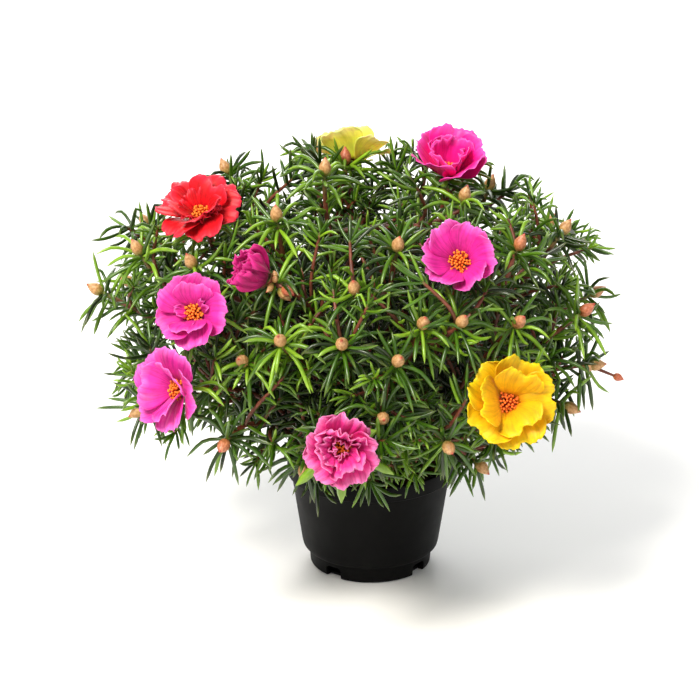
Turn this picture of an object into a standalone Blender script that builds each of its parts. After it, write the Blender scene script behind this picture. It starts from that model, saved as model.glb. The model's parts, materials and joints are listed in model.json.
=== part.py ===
"""Moss rose (portulaca) in a round plastic nursery pot, in metres, +Z up.

The origin is the middle of the pot's flat base. The front of the plant faces -Y.
Leafy stems stand in holes in the soil and carry fleshy needle leaves, buds and blooms.
"""

import math
import random

import bmesh
import bpy
import numpy as np
from mathutils import Matrix, Vector
from mathutils.bvhtree import BVHTree

MM = 0.001
UP = Vector((0.0, 0.0, 1.0))
GAP = 0.3 * MM

# Pot: outer radii and heights, with a foot narrower than the body
POT_HEIGHT = 68 * MM
FOOT_RADIUS = 37 * MM
BODY_BOTTOM_RADIUS = 42 * MM
BODY_TOP_RADIUS = 48.4 * MM
RIM_RADIUS = 51 * MM
RIM_BAND = 10 * MM
FOOT_HEIGHT = 10 * MM
POT_WALL = 1.4 * MM
POT_STEPS = 24
SOIL_STEPS = 16
NOTCH_ANGLES = (-38, 52, 142, 232)
NOTCH_WIDTH = 11 * MM

# Soil and the holes that the stems stand in
SOIL_LEVEL = 58 * MM
SOIL_CROWN = 3 * MM
HOLE_RADIUS = 3.1 * MM
HOLE_SPACING = 7.0 * MM
HOLE_DEPTH = 9 * MM
ROOT_DEPTH = 7.5 * MM
CROWN_RADIUS = 37 * MM

# Mound of shoot tips: an ellipsoid over the pot, a little to the left of it
MOUND_CENTRE = Vector((-12, 0, 155)) * MM
MOUND_RADII = Vector((147, 140, 92)) * MM
# Share by which the topmost shoots stand above the mound
TOP_LIFT = 0.1

# Stems and leaves
STEM_ROOT_RADIUS = 1.8 * MM
STEM_TIP_RADIUS = 1.5 * MM
LEAF_LENGTH = 27 * MM
LEAF_HALF_WIDTH = 1.5 * MM
LEVEL_HEIGHT = 3.2 * MM
BUD_LENGTH = 11 * MM
BUD_RADIUS = 3.4 * MM
LEAF_CLEARANCE = 0.6 * MM

# Blooms
PETAL_THICKNESS = 0.8 * MM
HUB_RADIUS = 5.0 * MM
HUB_HEIGHT = 2.6 * MM
STAMEN_RADIUS = 3.0 * MM
# Radius and height on the hub of the claws of the outer and of the inner petals
PETAL_STARTS = ((3.6 * MM, 1.0 * MM), (3.5 * MM, 2.0 * MM))

COLOURS = {
    "black_plastic": (0.012, 0.012, 0.013),
    "potting_soil": (0.035, 0.022, 0.014),
    "leaf_green": (0.065, 0.16, 0.035),
    "petal_red": (0.80, 0.012, 0.03),
    "petal_pink": (0.83, 0.06, 0.50),
    "petal_hot_pink": (0.80, 0.01, 0.23),
    "petal_magenta": (0.45, 0.008, 0.17),
    "petal_yellow": (0.95, 0.60, 0.004),
    "stamen_orange": (0.88, 0.18, 0.01),
}

# Blooms: where each stands on the mound (degrees round from the front and up, share of
# the mound's radii), which way it faces (degrees), its width in mm, and how it is open:
# the lean of its petals from the bloom's axis at claw and tip, outer layer then inner.
# name: colour, (round, up, reach), (face round, face up), width, layers of (count, lean, lean)
BLOOMS = {
    "red": ("petal_red", (-68, 52, 1.02), (-16, 60), 50, ((6, 40, 105), (3, 20, 62))),
    "pink_upper": ("petal_pink", (-38, 25, 1.04), (-14, 30), 43, ((5, 38, 86), (2, 20, 60))),
    "pink_lower": ("petal_pink", (-38, 0, 1.03), (-46, 12), 50, ((5, 38, 86), (3, 20, 60))),
    "magenta_closed": ("petal_magenta", (-24, 40, 1.0), (-78, 30), 38, ((5, 42, -16),)),
    "hot_pink": ("petal_hot_pink", (104, 67, 1.02), (8, 66), 49, ((5, 38, 50), (3, 25, 22))),
    "pink_cup": ("petal_pink", (33, 43, 1.03), (-8, 34), 44, ((6, 36, 56),)),
    "yellow": ("petal_yellow", (34, -3, 1.04), (8, 22), 53, ((5, 40, 88), (3, 24, 60))),
    "fading": ("petal_pink", (-2, -14, 1.03), (-2, 8), 45, ((5, 35, 84), (3, 24, 40))),
    "yellow_back": ("petal_yellow", (179, 68, 0.98), (170, 56), 48, ((5, 40, 88), (2, 20, 50))),
}
CRUMPLED = ("magenta_closed", "fading")
NO_STAMENS = ("magenta_closed",)

# Budded shoots of the front, as (degrees round, degrees up) on the mound, each with the
# tip of its side shoot or None
FRONT_SHOOTS = (
    ((-16, 20), (-27, 10)),
    ((-2, 20), None),
    ((17, 25), (27, 24)),
    ((10, 14), (7, -6)),
    ((-29, -18), (-14, -38)),
    ((15, 50), (1, 37)),
    ((22, -18), (45, -44)),
    ((42, 20), (55, 42)),
    ((-30, 58), (-52, 38)),
    ((-27, 78), (70, 62)),
    ((-88, 12), None),
    ((76, -10), (70, -24)),
    ((84, 37), None),
    ((-76, 33), None),
    ((72, 12), None),
    ((-70, -26), None),
)
# Back of the mound: rows of (degrees up, count, degrees round of the first and the last)
BACK_ROWS = ((58, 3, -115, -215), (30, 5, -108, -250), (4, 4, -112, -258), (-25, 4, -100, -240))


def clear_scene():
    for obj in list(bpy.data.objects):
        bpy.data.objects.remove(obj)


def material_of(name):
    """The Principled material of that name, made once."""
    found = bpy.data.materials.get(name)
    if found:
        return found
    made = bpy.data.materials.new(name)
    made.use_nodes = True
    shader = made.node_tree.nodes["Principled BSDF"]
    shader.inputs["Base Color"].default_value = (*COLOURS[name], 1)
    shader.inputs["Roughness"].default_value = 0.5
    return made


def new_collection(name, hidden=False):
    made = bpy.data.collections.new(name)
    bpy.context.scene.collection.children.link(made)
    made.hide_render = hidden
    return made


def new_object(name, mesh, collection, material=None):
    obj = bpy.data.objects.new(name, mesh)
    collection.objects.link(obj)
    if material:
        mesh.materials.clear()
        mesh.materials.append(material_of(material))
    return obj


def evaluated_mesh(obj):
    """A plain mesh of the object with its modifiers applied."""
    bpy.context.view_layer.update()
    graph = bpy.context.evaluated_depsgraph_get()
    return bpy.data.meshes.new_from_object(obj.evaluated_get(graph))


def turned(name, profile, steps, collection, material):
    """A solid of revolution: the profile runs from the axis round to the axis again."""
    mesh = bpy.data.meshes.new(name)
    points = [(r, 0, z) for r, z in profile]
    mesh.from_pydata(points, [(i, i + 1) for i in range(len(points) - 1)], [])
    obj = new_object(name, mesh, collection, material)
    screw = obj.modifiers.new("Turn", "SCREW")
    screw.steps = screw.render_steps = steps
    screw.use_merge_vertices = True
    screw.merge_threshold = 0.00001
    screw.use_normal_calculate = True
    return obj


def make_pot(parts, cutters):
    """The pot: foot, rounded shoulder, tapered wall and rim band, with four foot notches."""
    wall, top, shoulder = POT_WALL, POT_HEIGHT, FOOT_HEIGHT + 5 * MM
    band = top - RIM_BAND
    outside = [
        (0, 0), (FOOT_RADIUS - 1 * MM, 0), (FOOT_RADIUS, 1 * MM),
        (FOOT_RADIUS + 0.6 * MM, FOOT_HEIGHT - 1 * MM),
        (FOOT_RADIUS + 3 * MM, FOOT_HEIGHT + 0.9 * MM),
        (BODY_BOTTOM_RADIUS, shoulder),
        (BODY_TOP_RADIUS, band), (RIM_RADIUS - 0.8 * MM, band + 0.8 * MM),
        (RIM_RADIUS, top),
    ]
    inside = [
        (RIM_RADIUS - 2.2 * MM, top), (BODY_TOP_RADIUS - wall, band - 1 * MM),
        (BODY_BOTTOM_RADIUS - wall, shoulder + 0.4 * MM),
        (FOOT_RADIUS + 1 * MM, FOOT_HEIGHT + 2.4 * MM),
        (FOOT_RADIUS - wall, FOOT_HEIGHT), (FOOT_RADIUS - wall - 1 * MM, wall + 0.2 * MM),
        (0, wall + 0.2 * MM),
    ]
    pot = turned("pot", (outside + inside)[::-1], POT_STEPS, parts, "black_plastic")
    for number, angle in enumerate(NOTCH_ANGLES, 1):
        turn = Matrix.Rotation(math.radians(angle), 4, "Z")
        shape = bmesh.new()
        size = Matrix.Diagonal((NOTCH_WIDTH, 9 * MM, 9 * MM, 1))
        bmesh.ops.create_cube(shape, size=1, matrix=size)
        mesh = bpy.data.meshes.new(f"notch_{number}")
        shape.to_mesh(mesh)
        cutter = new_object(f"notch_{number}", mesh, cutters)
        cutter.matrix_world = turn @ Matrix.Translation((0, -FOOT_RADIUS, 2.5 * MM))
        cutter.display_type = "WIRE"
        cutter.hide_render = True
    cut = pot.modifiers.new("Notches", "BOOLEAN")
    cut.operation = "DIFFERENCE"
    cut.operand_type = "COLLECTION"
    cut.collection = cutters
    return pot


def make_soil(parts, roots, holes):
    """The soil that fills the pot, a shallow crown, with a hole for each stem."""
    level, crown = SOIL_LEVEL, SOIL_LEVEL + SOIL_CROWN
    inner = BODY_BOTTOM_RADIUS - POT_WALL - 2 * GAP
    profile = [
        (0, crown), (20 * MM, crown - 0.6 * MM), (38 * MM, level + 1 * MM),
        (BODY_TOP_RADIUS - POT_WALL - 1.1 * MM, level - 2 * MM),
        (inner, FOOT_HEIGHT + 6 * MM), (FOOT_RADIUS - 2 * MM, FOOT_HEIGHT + 4 * MM),
        (0, FOOT_HEIGHT + 3 * MM),
    ]
    soil = turned("soil", profile, SOIL_STEPS, parts, "potting_soil")
    for number, root in enumerate(roots):
        shape = bmesh.new()
        bmesh.ops.create_cone(
            shape, cap_ends=True, segments=4, radius1=HOLE_RADIUS, radius2=HOLE_RADIUS,
            depth=2 * HOLE_DEPTH,
            matrix=Matrix.Translation((root.x, root.y, soil_height(root))),
        )
        mesh = bpy.data.meshes.new(f"hole_{number}")
        shape.to_mesh(mesh)
        hole = new_object(f"hole_{number}", mesh, holes)
        hole.display_type = "WIRE"
        hole.hide_render = True
    cut = soil.modifiers.new("Stem_holes", "BOOLEAN")
    cut.operation = "DIFFERENCE"
    cut.operand_type = "COLLECTION"
    cut.collection = holes
    return soil


def soil_height(point):
    """Height of the soil's surface at a point over it."""
    share = min(1.0, math.hypot(point.x, point.y) / BODY_TOP_RADIUS)
    return SOIL_LEVEL + SOIL_CROWN * (1 - share**2)


def direction(around, up):
    """Unit vector: degrees round from the front (-Y, turning to +X) and degrees up."""
    a, e = math.radians(around), math.radians(up)
    return Vector((math.sin(a) * math.cos(e), -math.cos(a) * math.cos(e), math.sin(e)))


def mound_point(around, up, reach=1.0):
    way = direction(around, up)
    return MOUND_CENTRE + Vector(w * r * reach for w, r in zip(way, MOUND_RADII))


def top_lift(place):
    """How much further out a shoot's tip stands, as a share of the radii: more at the top."""
    return TOP_LIFT * max(0, math.sin(math.radians(place[1]))) ** 2


def mound_normal(point):
    way = point - MOUND_CENTRE
    return Vector(w / r**2 for w, r in zip(way, MOUND_RADII)).normalized()


def frame_on(axis, at):
    """Matrix that stands +Z along the axis at a point."""
    return Matrix.Translation(at) @ axis.to_track_quat("Z", "Y").to_matrix().to_4x4()


class Space:
    """What has been placed so far, as round-ended rods and meshes, to keep pieces clear."""

    def __init__(self):
        self.starts, self.ends, self.radii, self.owners = [], [], [], []
        self.meshes = []

    def add(self, points, radius, owner):
        for start, end in zip(points, points[1:]):
            self.starts.append(start[:])
            self.ends.append(end[:])
            self.radii.append(radius)
            self.owners.append(owner)

    def add_mesh(self, mesh, owner):
        shape = bmesh.new()
        shape.from_mesh(mesh)
        self.meshes.append((BVHTree.FromBMesh(shape), owner))
        shape.free()

    def room(self, points, radius, owner):
        """Smallest distance from these points, less the radii, to what others placed."""
        nearest = 1.0
        if self.starts:
            a, b = np.array(self.starts), np.array(self.ends)
            mine = np.array([o == owner for o in self.owners])
            p = np.array([q[:] for q in points])[:, None, :]
            along = b - a
            t = ((p - a) * along).sum(2) / np.maximum((along**2).sum(1), 1e-12)
            close = a + np.clip(t, 0, 1)[..., None] * along
            gaps = np.linalg.norm(p - close, axis=2) - np.array(self.radii) - radius
            gaps[:, mine] = 1.0
            nearest = float(gaps.min())
        nearest = min([nearest] + [pot_room(point) - radius for point in points])
        for tree, whose in self.meshes:
            if whose == owner:
                continue
            for point in points:
                found = tree.find_nearest(point, radius + 4 * MM)
                if found[0] is not None:
                    nearest = min(nearest, found[3] - radius)
        return nearest


def pot_room(point):
    """How far a point is clear of the soil, or of the pot's rim and what is below it."""
    out = math.hypot(point.x, point.y)
    if out < BODY_TOP_RADIUS - 5 * MM:
        return point.z - soil_height(point)
    beyond = max(out - RIM_RADIUS, 0)
    above = max(point.z - POT_HEIGHT, 0)
    return math.hypot(beyond, above)


def bezier(points, share):
    a, b, c, d = points
    s, r = share, 1 - share
    return a * r**3 + b * 3 * s * r**2 + c * 3 * s**2 * r + d * s**3


def samples(points, step=3 * MM):
    """Points every few millimetres along a line of points."""
    found = [points[0]]
    for a, b in zip(points, points[1:]):
        count = max(1, math.ceil((b - a).length / step))
        found += [a.lerp(b, i / count) for i in range(1, count + 1)]
    return found


def root_of(tip, spread):
    """Where on the soil the stem of a tip stands: low tips come from the edge."""
    way = tip - MOUND_CENTRE
    around = math.atan2(way.y, way.x)
    steep = math.asin(max(-1, min(1, way.z / MOUND_RADII.z / 1.15)))
    radius = CROWN_RADIUS * (1 - max(0, steep) / (0.55 * math.pi)) * spread
    point = Vector((radius * math.cos(around), radius * math.sin(around), 0))
    point.z = soil_height(point)
    return point


def stem_line(root, tip, facing, rise, lean):
    """The four guide points of a stem from the soil to its tip."""
    out = Vector((tip.x - root.x, tip.y - root.y, 0))
    start = root + UP * rise + out * lean
    reach = (tip - root).length
    end = tip - facing * min(0.4 * reach, 42 * MM)
    return root, start, end, tip


def place_stem(space, owner, tip, facing, rng, roots):
    """A stem line clear of what is there, from a root of its own."""
    best, best_room = None, -1.0
    for attempt in range(90):
        loose = 0.04 + attempt * 0.008
        root = root_of(tip, 1 - rng.random() * min(0.75, loose * 2))
        turn = Matrix.Rotation(rng.uniform(-1, 1) * loose * 2.4, 3, "Z")
        root = turn @ root
        near = min(((root - r).length for r in roots), default=1)
        if near < HOLE_SPACING:
            continue
        rise = (0.30 + rng.uniform(-0.1, 0.25)) * (tip - root).length
        line = stem_line(root, tip, facing, max(rise, 34 * MM), rng.uniform(0.02, 0.28))
        points = [bezier(line, i / 40) for i in range(41)]
        room = space.room(points[4:], STEM_ROOT_RADIUS, owner)
        if room > best_room:
            best, best_room = line, room
        if room > 1.0 * MM:
            break
    return best


def tube_mesh(points, radii):
    """A four-sided tube with closed ends through the points."""
    curve = bpy.data.curves.new("tube", "CURVE")
    curve.dimensions = "3D"
    curve.bevel_depth = 1.0
    curve.bevel_resolution = 0
    curve.use_fill_caps = True
    spline = curve.splines.new("POLY")
    spline.points.add(len(points) - 1)
    for knot, point, radius in zip(spline.points, points, radii):
        knot.co = (*point, 1)
        knot.radius = radius
    obj = bpy.data.objects.new("tube", curve)
    bpy.context.scene.collection.objects.link(obj)
    mesh = evaluated_mesh(obj)
    bpy.data.objects.remove(obj)
    bpy.data.curves.remove(curve)
    return mesh


def leaf_way(normal, axis, turn, lift):
    """Leaf direction: the face's normal turned round the stem and lifted along it."""
    way = Matrix.Rotation(turn, 3, axis) @ normal
    return (way * math.cos(lift) + axis * math.sin(lift)).normalized()


def grow_leaf(shape, face, axis, turn, lift, length, droop):
    """Draws a leaf out of a side face of the stem: a bent four-sided spike."""
    base = face.calc_center_median()
    way = leaf_way(face.normal.copy(), axis, turn, lift)
    across = axis.cross(way).normalized()
    upright = way.cross(across).normalized()
    middle = base + way * length * 0.5
    corners = [(v.co - base) for v in face.verts]
    signs = [(c.dot(axis.cross(face.normal)), c.dot(axis)) for c in corners]
    drawn = bmesh.ops.extrude_discrete_faces(shape, faces=[face])["faces"][0]
    for vert, (side, high) in zip(drawn.verts, signs):
        vert.co = middle + LEAF_HALF_WIDTH * (
            across * math.copysign(0.95, side) + upright * math.copysign(0.75, high)
        )
    end = bmesh.ops.extrude_discrete_faces(shape, faces=[drawn])["faces"][0]
    tip = leaf_points(base, way, length, droop)[2]
    bmesh.ops.pointmerge(shape, verts=end.verts[:], merge_co=tip)


def leaf_points(base, way, length, droop):
    """Base, middle and tip of a leaf that bends downwards by its droop."""
    middle = base + way * length * 0.5
    bent = (way - UP * droop).normalized()
    return [base, middle, middle + bent * length * 0.5]


def grow_level(shape, space, owner, at, axis, wanted, lift, turn, rng, own):
    """Leaves out of the side faces at one level of a stem, where there is room."""
    sides = [
        f for f in shape.faces
        if (f.calc_center_median() - at).length < 2.2 * MM and abs(f.normal.dot(axis)) < 0.5
    ]
    sides.sort(key=lambda f: math.atan2(f.normal.dot(axis.orthogonal()),
                                        f.normal.dot(axis.cross(axis.orthogonal()))))
    if wanted < len(sides):
        sides = sides[:: max(1, len(sides) // wanted)][:wanted]
    for face in sides:
        for attempt in range(14):
            loose = 0.05 + 0.05 * attempt
            size = LEAF_LENGTH * rng.uniform(0.88, 1.06) * (1 - 0.028 * attempt)
            spin = turn + rng.uniform(-loose, loose)
            rise = lift + rng.uniform(-loose, loose)
            sag = rng.uniform(0.15, 0.55)
            way = leaf_way(face.normal, axis, spin, rise)
            line = leaf_points(face.calc_center_median(), way, size, sag)
            points = samples(line)
            outer = points[2:]
            clear = space.room(points, LEAF_HALF_WIDTH, owner) > LEAF_CLEARANCE
            if clear and own.room(outer, LEAF_HALF_WIDTH, None) > 0.1 * MM:
                grow_leaf(shape, face, axis, spin, rise, size, sag)
                space.add(line, LEAF_HALF_WIDTH, owner)
                own.add(samples(line)[2:], LEAF_HALF_WIDTH, owner)
                break


def square_caps(shape):
    """Makes each end cap of a tube one four-sided face from its two triangles."""
    halves = [f for f in shape.faces if len(f.verts) == 3]
    bmesh.ops.join_triangles(
        shape, faces=halves, angle_face_threshold=math.pi, angle_shape_threshold=math.pi,
    )


def grow_bud(shape, at, axis, plump):
    """Draws a pointed bud out of the stem's end cap."""
    cap = max(shape.faces, key=lambda f: (f.calc_center_median() - at).length < 1 * MM
              and f.normal.dot(axis))
    centre = cap.calc_center_median()
    height, width = (0.35, 1.0) if plump else (0.3, 0.6)
    cap = bmesh.ops.extrude_discrete_faces(shape, faces=[cap])["faces"][0]
    for vert in cap.verts:
        out = vert.co - centre
        out -= axis * out.dot(axis)
        vert.co = centre + axis * BUD_LENGTH * height
        vert.co += out.normalized() * BUD_RADIUS * width
    end = bmesh.ops.extrude_discrete_faces(shape, faces=[cap])["faces"][0]
    bmesh.ops.pointmerge(shape, verts=end.verts[:], merge_co=centre + axis * BUD_LENGTH)


def grow_seat(shape, at, axis):
    """Widens the stem's end cap into the flat seat under a bloom."""
    cap = max(shape.faces, key=lambda f: (f.calc_center_median() - at).length < 1 * MM
              and f.normal.dot(axis))
    centre = cap.calc_center_median()
    cap = bmesh.ops.extrude_discrete_faces(shape, faces=[cap])["faces"][0]
    for vert in cap.verts:
        out = vert.co - centre
        out -= axis * out.dot(axis)
        vert.co = centre + axis * 4 * MM + out.normalized() * 3.2 * MM


def shares_of(line, backs):
    """Shares along a guide line that lie the given lengths back from its end."""
    steps = 200
    points = [bezier(line, i / steps) for i in range(steps + 1)]
    lengths = np.cumsum([0.0] + [(b - a).length for a, b in zip(points, points[1:])])
    wanted = [lengths[-1] - back for back in backs]
    return [float(s) for s in np.interp(wanted, lengths, np.linspace(0, 1, steps + 1))]


def level_marks(line, levels):
    """Rings of a shoot as (share along its line, leaves that grow up to the next ring)."""
    leaves = {}
    for back, wanted, lift, turn in levels:
        leaves[back + LEVEL_HEIGHT] = (wanted, lift, turn)
        leaves.setdefault(back, None)
    backs = sorted(leaves, reverse=True)
    shares = shares_of(line, backs)
    bare = [(0.0, None), (0.3 * shares[0], None), (0.68 * shares[0], None)]
    return bare + [(share, leaves[back]) for share, back in zip(shares, backs)]


def shoot_mesh(space, owner, line, levels, ending, rooted, rng):
    """One shoot along a guide line: its tube, its leaves level by level, and its end."""
    marks = level_marks(line, levels)
    shares = [m[0] for m in marks]
    points = [bezier(line, s) for s in shares]
    radii = [STEM_ROOT_RADIUS + (STEM_TIP_RADIUS - STEM_ROOT_RADIUS) * s for s in shares]
    if rooted:
        marks.insert(0, (0.0, None))
        points.insert(0, points[0] - UP * ROOT_DEPTH)
        radii.insert(0, STEM_ROOT_RADIUS)
    mesh = tube_mesh(points, radii)
    shape = bmesh.new()
    shape.from_mesh(mesh)
    bmesh.ops.remove_doubles(shape, verts=shape.verts[:], dist=0.00001)
    bpy.data.meshes.remove(mesh)
    square_caps(shape)
    own = Space()
    for index in range(len(marks) - 1, -1, -1):
        if marks[index][1] is None:
            continue
        wanted, lift, turn = marks[index][1]
        at = (points[index] + points[index + 1]) / 2
        axis = (points[index + 1] - points[index]).normalized()
        grow_level(shape, space, owner, at, axis, wanted, lift, turn, rng, own)
    axis = (points[-1] - points[-2]).normalized()
    if ending == "seat":
        grow_seat(shape, points[-1], axis)
    else:
        grow_bud(shape, points[-1], axis, ending == "plump")
    bmesh.ops.recalc_face_normals(shape, faces=shape.faces[:])
    made = bpy.data.meshes.new(owner)
    shape.to_mesh(made)
    shape.free()
    return made


def keep_main_shell(mesh):
    """Leaves a mesh's largest closed shell, so hollows that a join sealed are filled."""
    shape = bmesh.new()
    shape.from_mesh(mesh)
    left, largest = set(shape.faces), []
    while left:
        shell, front = [], [left.pop()]
        while front:
            face = front.pop()
            shell.append(face)
            beside = {f for edge in face.edges for f in edge.link_faces} & left
            left -= beside
            front += beside
        largest = max(largest, shell, key=len)
    scraps = list(set(shape.faces) - set(largest))
    bmesh.ops.delete(shape, geom=scraps, context="FACES")
    shape.to_mesh(mesh)
    shape.free()


def united(name, meshes, collection, material):
    """One body from several closed meshes, by a Boolean union on a collection."""
    first = new_object(name, meshes[0], collection, material)
    if len(meshes) == 1:
        return first
    others = new_collection(name + "_pieces")
    for number, mesh in enumerate(meshes[1:]):
        new_object(f"{name}_piece_{number}", mesh, others)
    join = first.modifiers.new("Join", "BOOLEAN")
    join.operation = "UNION"
    join.operand_type = "COLLECTION"
    join.collection = others
    made = evaluated_mesh(first)
    keep_main_shell(made)
    for obj in [*others.objects, first]:
        bpy.data.objects.remove(obj)
    bpy.data.collections.remove(others)
    return new_object(name, made, collection, material)


def petal_mesh(frame, start, cells, length, width, lean, roll, ruffle, notch, phase):
    """A petal: a curved, cupped blade with a waved end, given its thickness by Solidify."""
    shape = bmesh.new()
    bmesh.ops.create_grid(shape, x_segments=2, y_segments=cells, size=1)
    for vert in shape.verts:
        u, v = vert.co.x, (vert.co.y + 1) / 2
        half = width / 2 * (0.2 + 0.8 * math.sin(min(1, 1.15 * v) * math.pi / 2) ** 1.2)
        end = 1 - 0.2 * abs(u) ** 3 - notch * math.exp(-((u / 0.3) ** 2))
        along = v * end * length
        radial, height, angle = *start, math.radians(lean[0])
        count = 8
        for i in range(count):
            share = (i + 0.5) / count * along / length
            angle = math.radians(lean[0] + (lean[1] - lean[0]) * share)
            radial += math.sin(angle) * along / count
            height += math.cos(angle) * along / count
        lift = roll * u * half + 0.25 * u * u * half * v
        lift += ruffle * math.sin(2.3 * u + phase) * v * v
        vert.co = Vector((
            radial - math.cos(angle) * lift, u * half, height + math.sin(angle) * lift,
        ))
    mesh = bpy.data.meshes.new("petal")
    shape.to_mesh(mesh)
    shape.free()
    mesh.transform(frame)
    obj = new_object("petal", mesh, bpy.context.scene.collection)
    thick = obj.modifiers.new("Thickness", "SOLIDIFY")
    thick.thickness = PETAL_THICKNESS
    thick.offset = 0
    made = evaluated_mesh(obj)
    bpy.data.objects.remove(obj)
    return made


def hub_mesh(frame):
    """The small flat-bottomed disc that a bloom's petals grow from."""
    shape = bmesh.new()
    bmesh.ops.create_cone(
        shape, cap_ends=True, segments=8, radius1=HUB_RADIUS * 0.8, radius2=HUB_RADIUS,
        depth=HUB_HEIGHT, matrix=Matrix.Translation((0, 0, HUB_HEIGHT / 2)),
    )
    mesh = bpy.data.meshes.new("hub")
    shape.to_mesh(mesh)
    shape.free()
    mesh.transform(frame)
    return mesh


def make_bloom(name, parts, rng):
    """A bloom's petals in their layers, joined at the hub, and its stamens."""
    colour, place, face, width, layers = BLOOMS[name]
    frame = frame_on(direction(*face), mound_point(*place))
    meshes = [hub_mesh(frame)]
    crumple = 2.2 * MM if name in CRUMPLED else 0.9 * MM
    for layer, (count, low, high) in enumerate(layers):
        size = (width / 2 * MM - HUB_RADIUS * 0.5) * (1.18 if high < 70 else 1.05)
        size *= 0.8 if layer else 1
        for number in range(count):
            turn = math.tau * (number + 0.5 * layer) / count + rng.uniform(-0.1, 0.1)
            spin = frame @ Matrix.Rotation(turn, 4, "Z")
            wide = size * min(1.25, 6.0 / max(count, 4))
            sway = rng.uniform(-4, 4)
            meshes.append(petal_mesh(
                spin, PETAL_STARTS[layer], 3 - layer, size * rng.uniform(0.95, 1.04), wide,
                (low, high + sway), 0.22, crumple, 0.09, rng.uniform(0, math.tau),
            ))
    bloom = united(f"petals_{name}", meshes, parts, colour)
    if name not in NO_STAMENS:
        make_stamens(name, frame, parts, rng)
    return bloom, frame


def make_stamens(name, frame, parts, rng):
    """A boss of stamens: a small dome with filaments drawn out of its upper faces."""
    shape = bmesh.new()
    bmesh.ops.create_icosphere(shape, subdivisions=1, radius=STAMEN_RADIUS * 0.8)
    floor = min(v.co.z for v in shape.verts)
    upper = [f for f in shape.faces if f.normal.z > 0.1]
    for face in upper:
        way = (face.normal + UP * 0.6).normalized()
        end = bmesh.ops.extrude_discrete_faces(shape, faces=[face])["faces"][0]
        centre = end.calc_center_median()
        reach = way * rng.uniform(2.6, 4.2) * MM
        for vert in end.verts:
            vert.co = centre + reach + (vert.co - centre) * 0.42
    mesh = bpy.data.meshes.new(name)
    shape.to_mesh(mesh)
    shape.free()
    mesh.transform(Matrix.Translation((0, 0, HUB_HEIGHT + GAP - floor)))
    mesh.transform(frame)
    return new_object(f"stamens_{name}", mesh, parts, "stamen_orange")


def back_shoots():
    """Tips on the back of the mound, in staggered rows, every second with a side shoot."""
    found = []
    for row, (up, count, first, last) in enumerate(BACK_ROWS):
        for number in range(count):
            around = first + (last - first) * number / (count - 1)
            side = (around - 17, up + 13) if (number + row) % 3 == 1 else None
            found.append(((around, up), side))
    return found


def facing_of(tip, rng):
    """The way a budded tip points: outwards and somewhat up."""
    loose = Vector((rng.uniform(-1, 1), rng.uniform(-1, 1), rng.uniform(-1, 1))) * 0.18
    return (mound_normal(tip) + UP * 0.35 + loose).normalized()


# Leaves of a shoot: distance back from its end, how many, their lift and their turn
BUD_LEVELS = ((0.0, 4, 0.15, 0.38), (LEVEL_HEIGHT, 4, -0.05, -0.38), (21 * MM, 2, 0.5, 0.1))
BLOOM_LEVELS = ((0.0, 4, -0.1, 0.2), (17 * MM, 2, 0.45, -0.2))
SIDE_LEVELS = ((0.0, 4, 0.15, 0.38), (LEVEL_HEIGHT, 4, -0.05, -0.38))


def make_plant(parts):
    """All blooms and leafy stems. Returns the points where the stems enter the soil."""
    rng = random.Random(7)
    space = Space()
    plans, roots = [], []
    for number, name in enumerate(BLOOMS):
        bloom, frame = make_bloom(name, parts, random.Random(number))
        owner = f"stem_{name}_bloom"
        space.add_mesh(bloom.data, owner)
        axis = frame.to_3x3() @ UP
        tip = frame.translation - axis * (4 * MM + GAP)
        plans.append([owner, tip, axis, None, "seat"])
    for number, (main, side) in enumerate([*FRONT_SHOOTS, *back_shoots()], 1):
        owner = f"leafy_stem_{number:02d}"
        tip = mound_point(*main, reach=rng.uniform(0.96, 1.02) + top_lift(main))
        ending = "plump" if rng.random() < 0.75 else "slim"
        plans.append([owner, tip, facing_of(tip, rng), side, ending])
    lines = {}
    for owner, tip, facing, side, ending in plans:
        line = place_stem(space, owner, tip, facing, rng, roots)
        roots.append(line[0])
        lines[owner] = line
        space.add([bezier(line, i / 20) for i in range(21)], STEM_ROOT_RADIUS, owner)
        if ending != "seat":
            space.add([tip, tip + facing * BUD_LENGTH], BUD_RADIUS, owner)
    sides = {}
    for owner, tip, facing, side, ending in plans:
        if side is None:
            continue
        branch = place_branch(space, owner, lines[owner], side, rng)
        if branch:
            sides[owner] = branch
            space.add([bezier(branch, i / 12) for i in range(13)], STEM_ROOT_RADIUS, owner)
            out = (branch[3] - branch[2]).normalized()
            space.add([branch[3], branch[3] + out * BUD_LENGTH], BUD_RADIUS, owner)
    for owner, tip, facing, side, ending in plans:
        levels = BLOOM_LEVELS if ending == "seat" else BUD_LEVELS
        meshes = [shoot_mesh(space, owner, lines[owner], levels, ending, True, rng)]
        if owner in sides:
            side_shoot = sides[owner], SIDE_LEVELS, "plump", False
            meshes.append(shoot_mesh(space, owner, *side_shoot, rng))
        united(owner, meshes, parts, "leaf_green")
    return roots


def place_branch(space, owner, line, side, rng):
    """A side shoot's guide line: it leaves the stem inside it and ends at its own tip."""
    for attempt in range(60):
        share = rng.uniform(0.45, 0.78)
        tip = mound_point(*side, reach=rng.uniform(0.88, 1.0) + top_lift(side))
        tip += Vector((rng.uniform(-1, 1), rng.uniform(-1, 1), rng.uniform(-1, 1))) * attempt * 0.2 * MM
        fork, ahead = bezier(line, share), bezier(line, share + 0.05)
        axis = (ahead - fork).normalized()
        facing = facing_of(tip, rng)
        reach = (tip - fork).length
        branch = (fork, fork + (axis + (tip - fork).normalized()) * 0.2 * reach,
                  tip - facing * 0.35 * reach, tip)
        points = [bezier(branch, i / 16) for i in range(2, 17)]
        if space.room(points, STEM_TIP_RADIUS, owner) > 1.0 * MM:
            return branch
    return None


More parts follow.
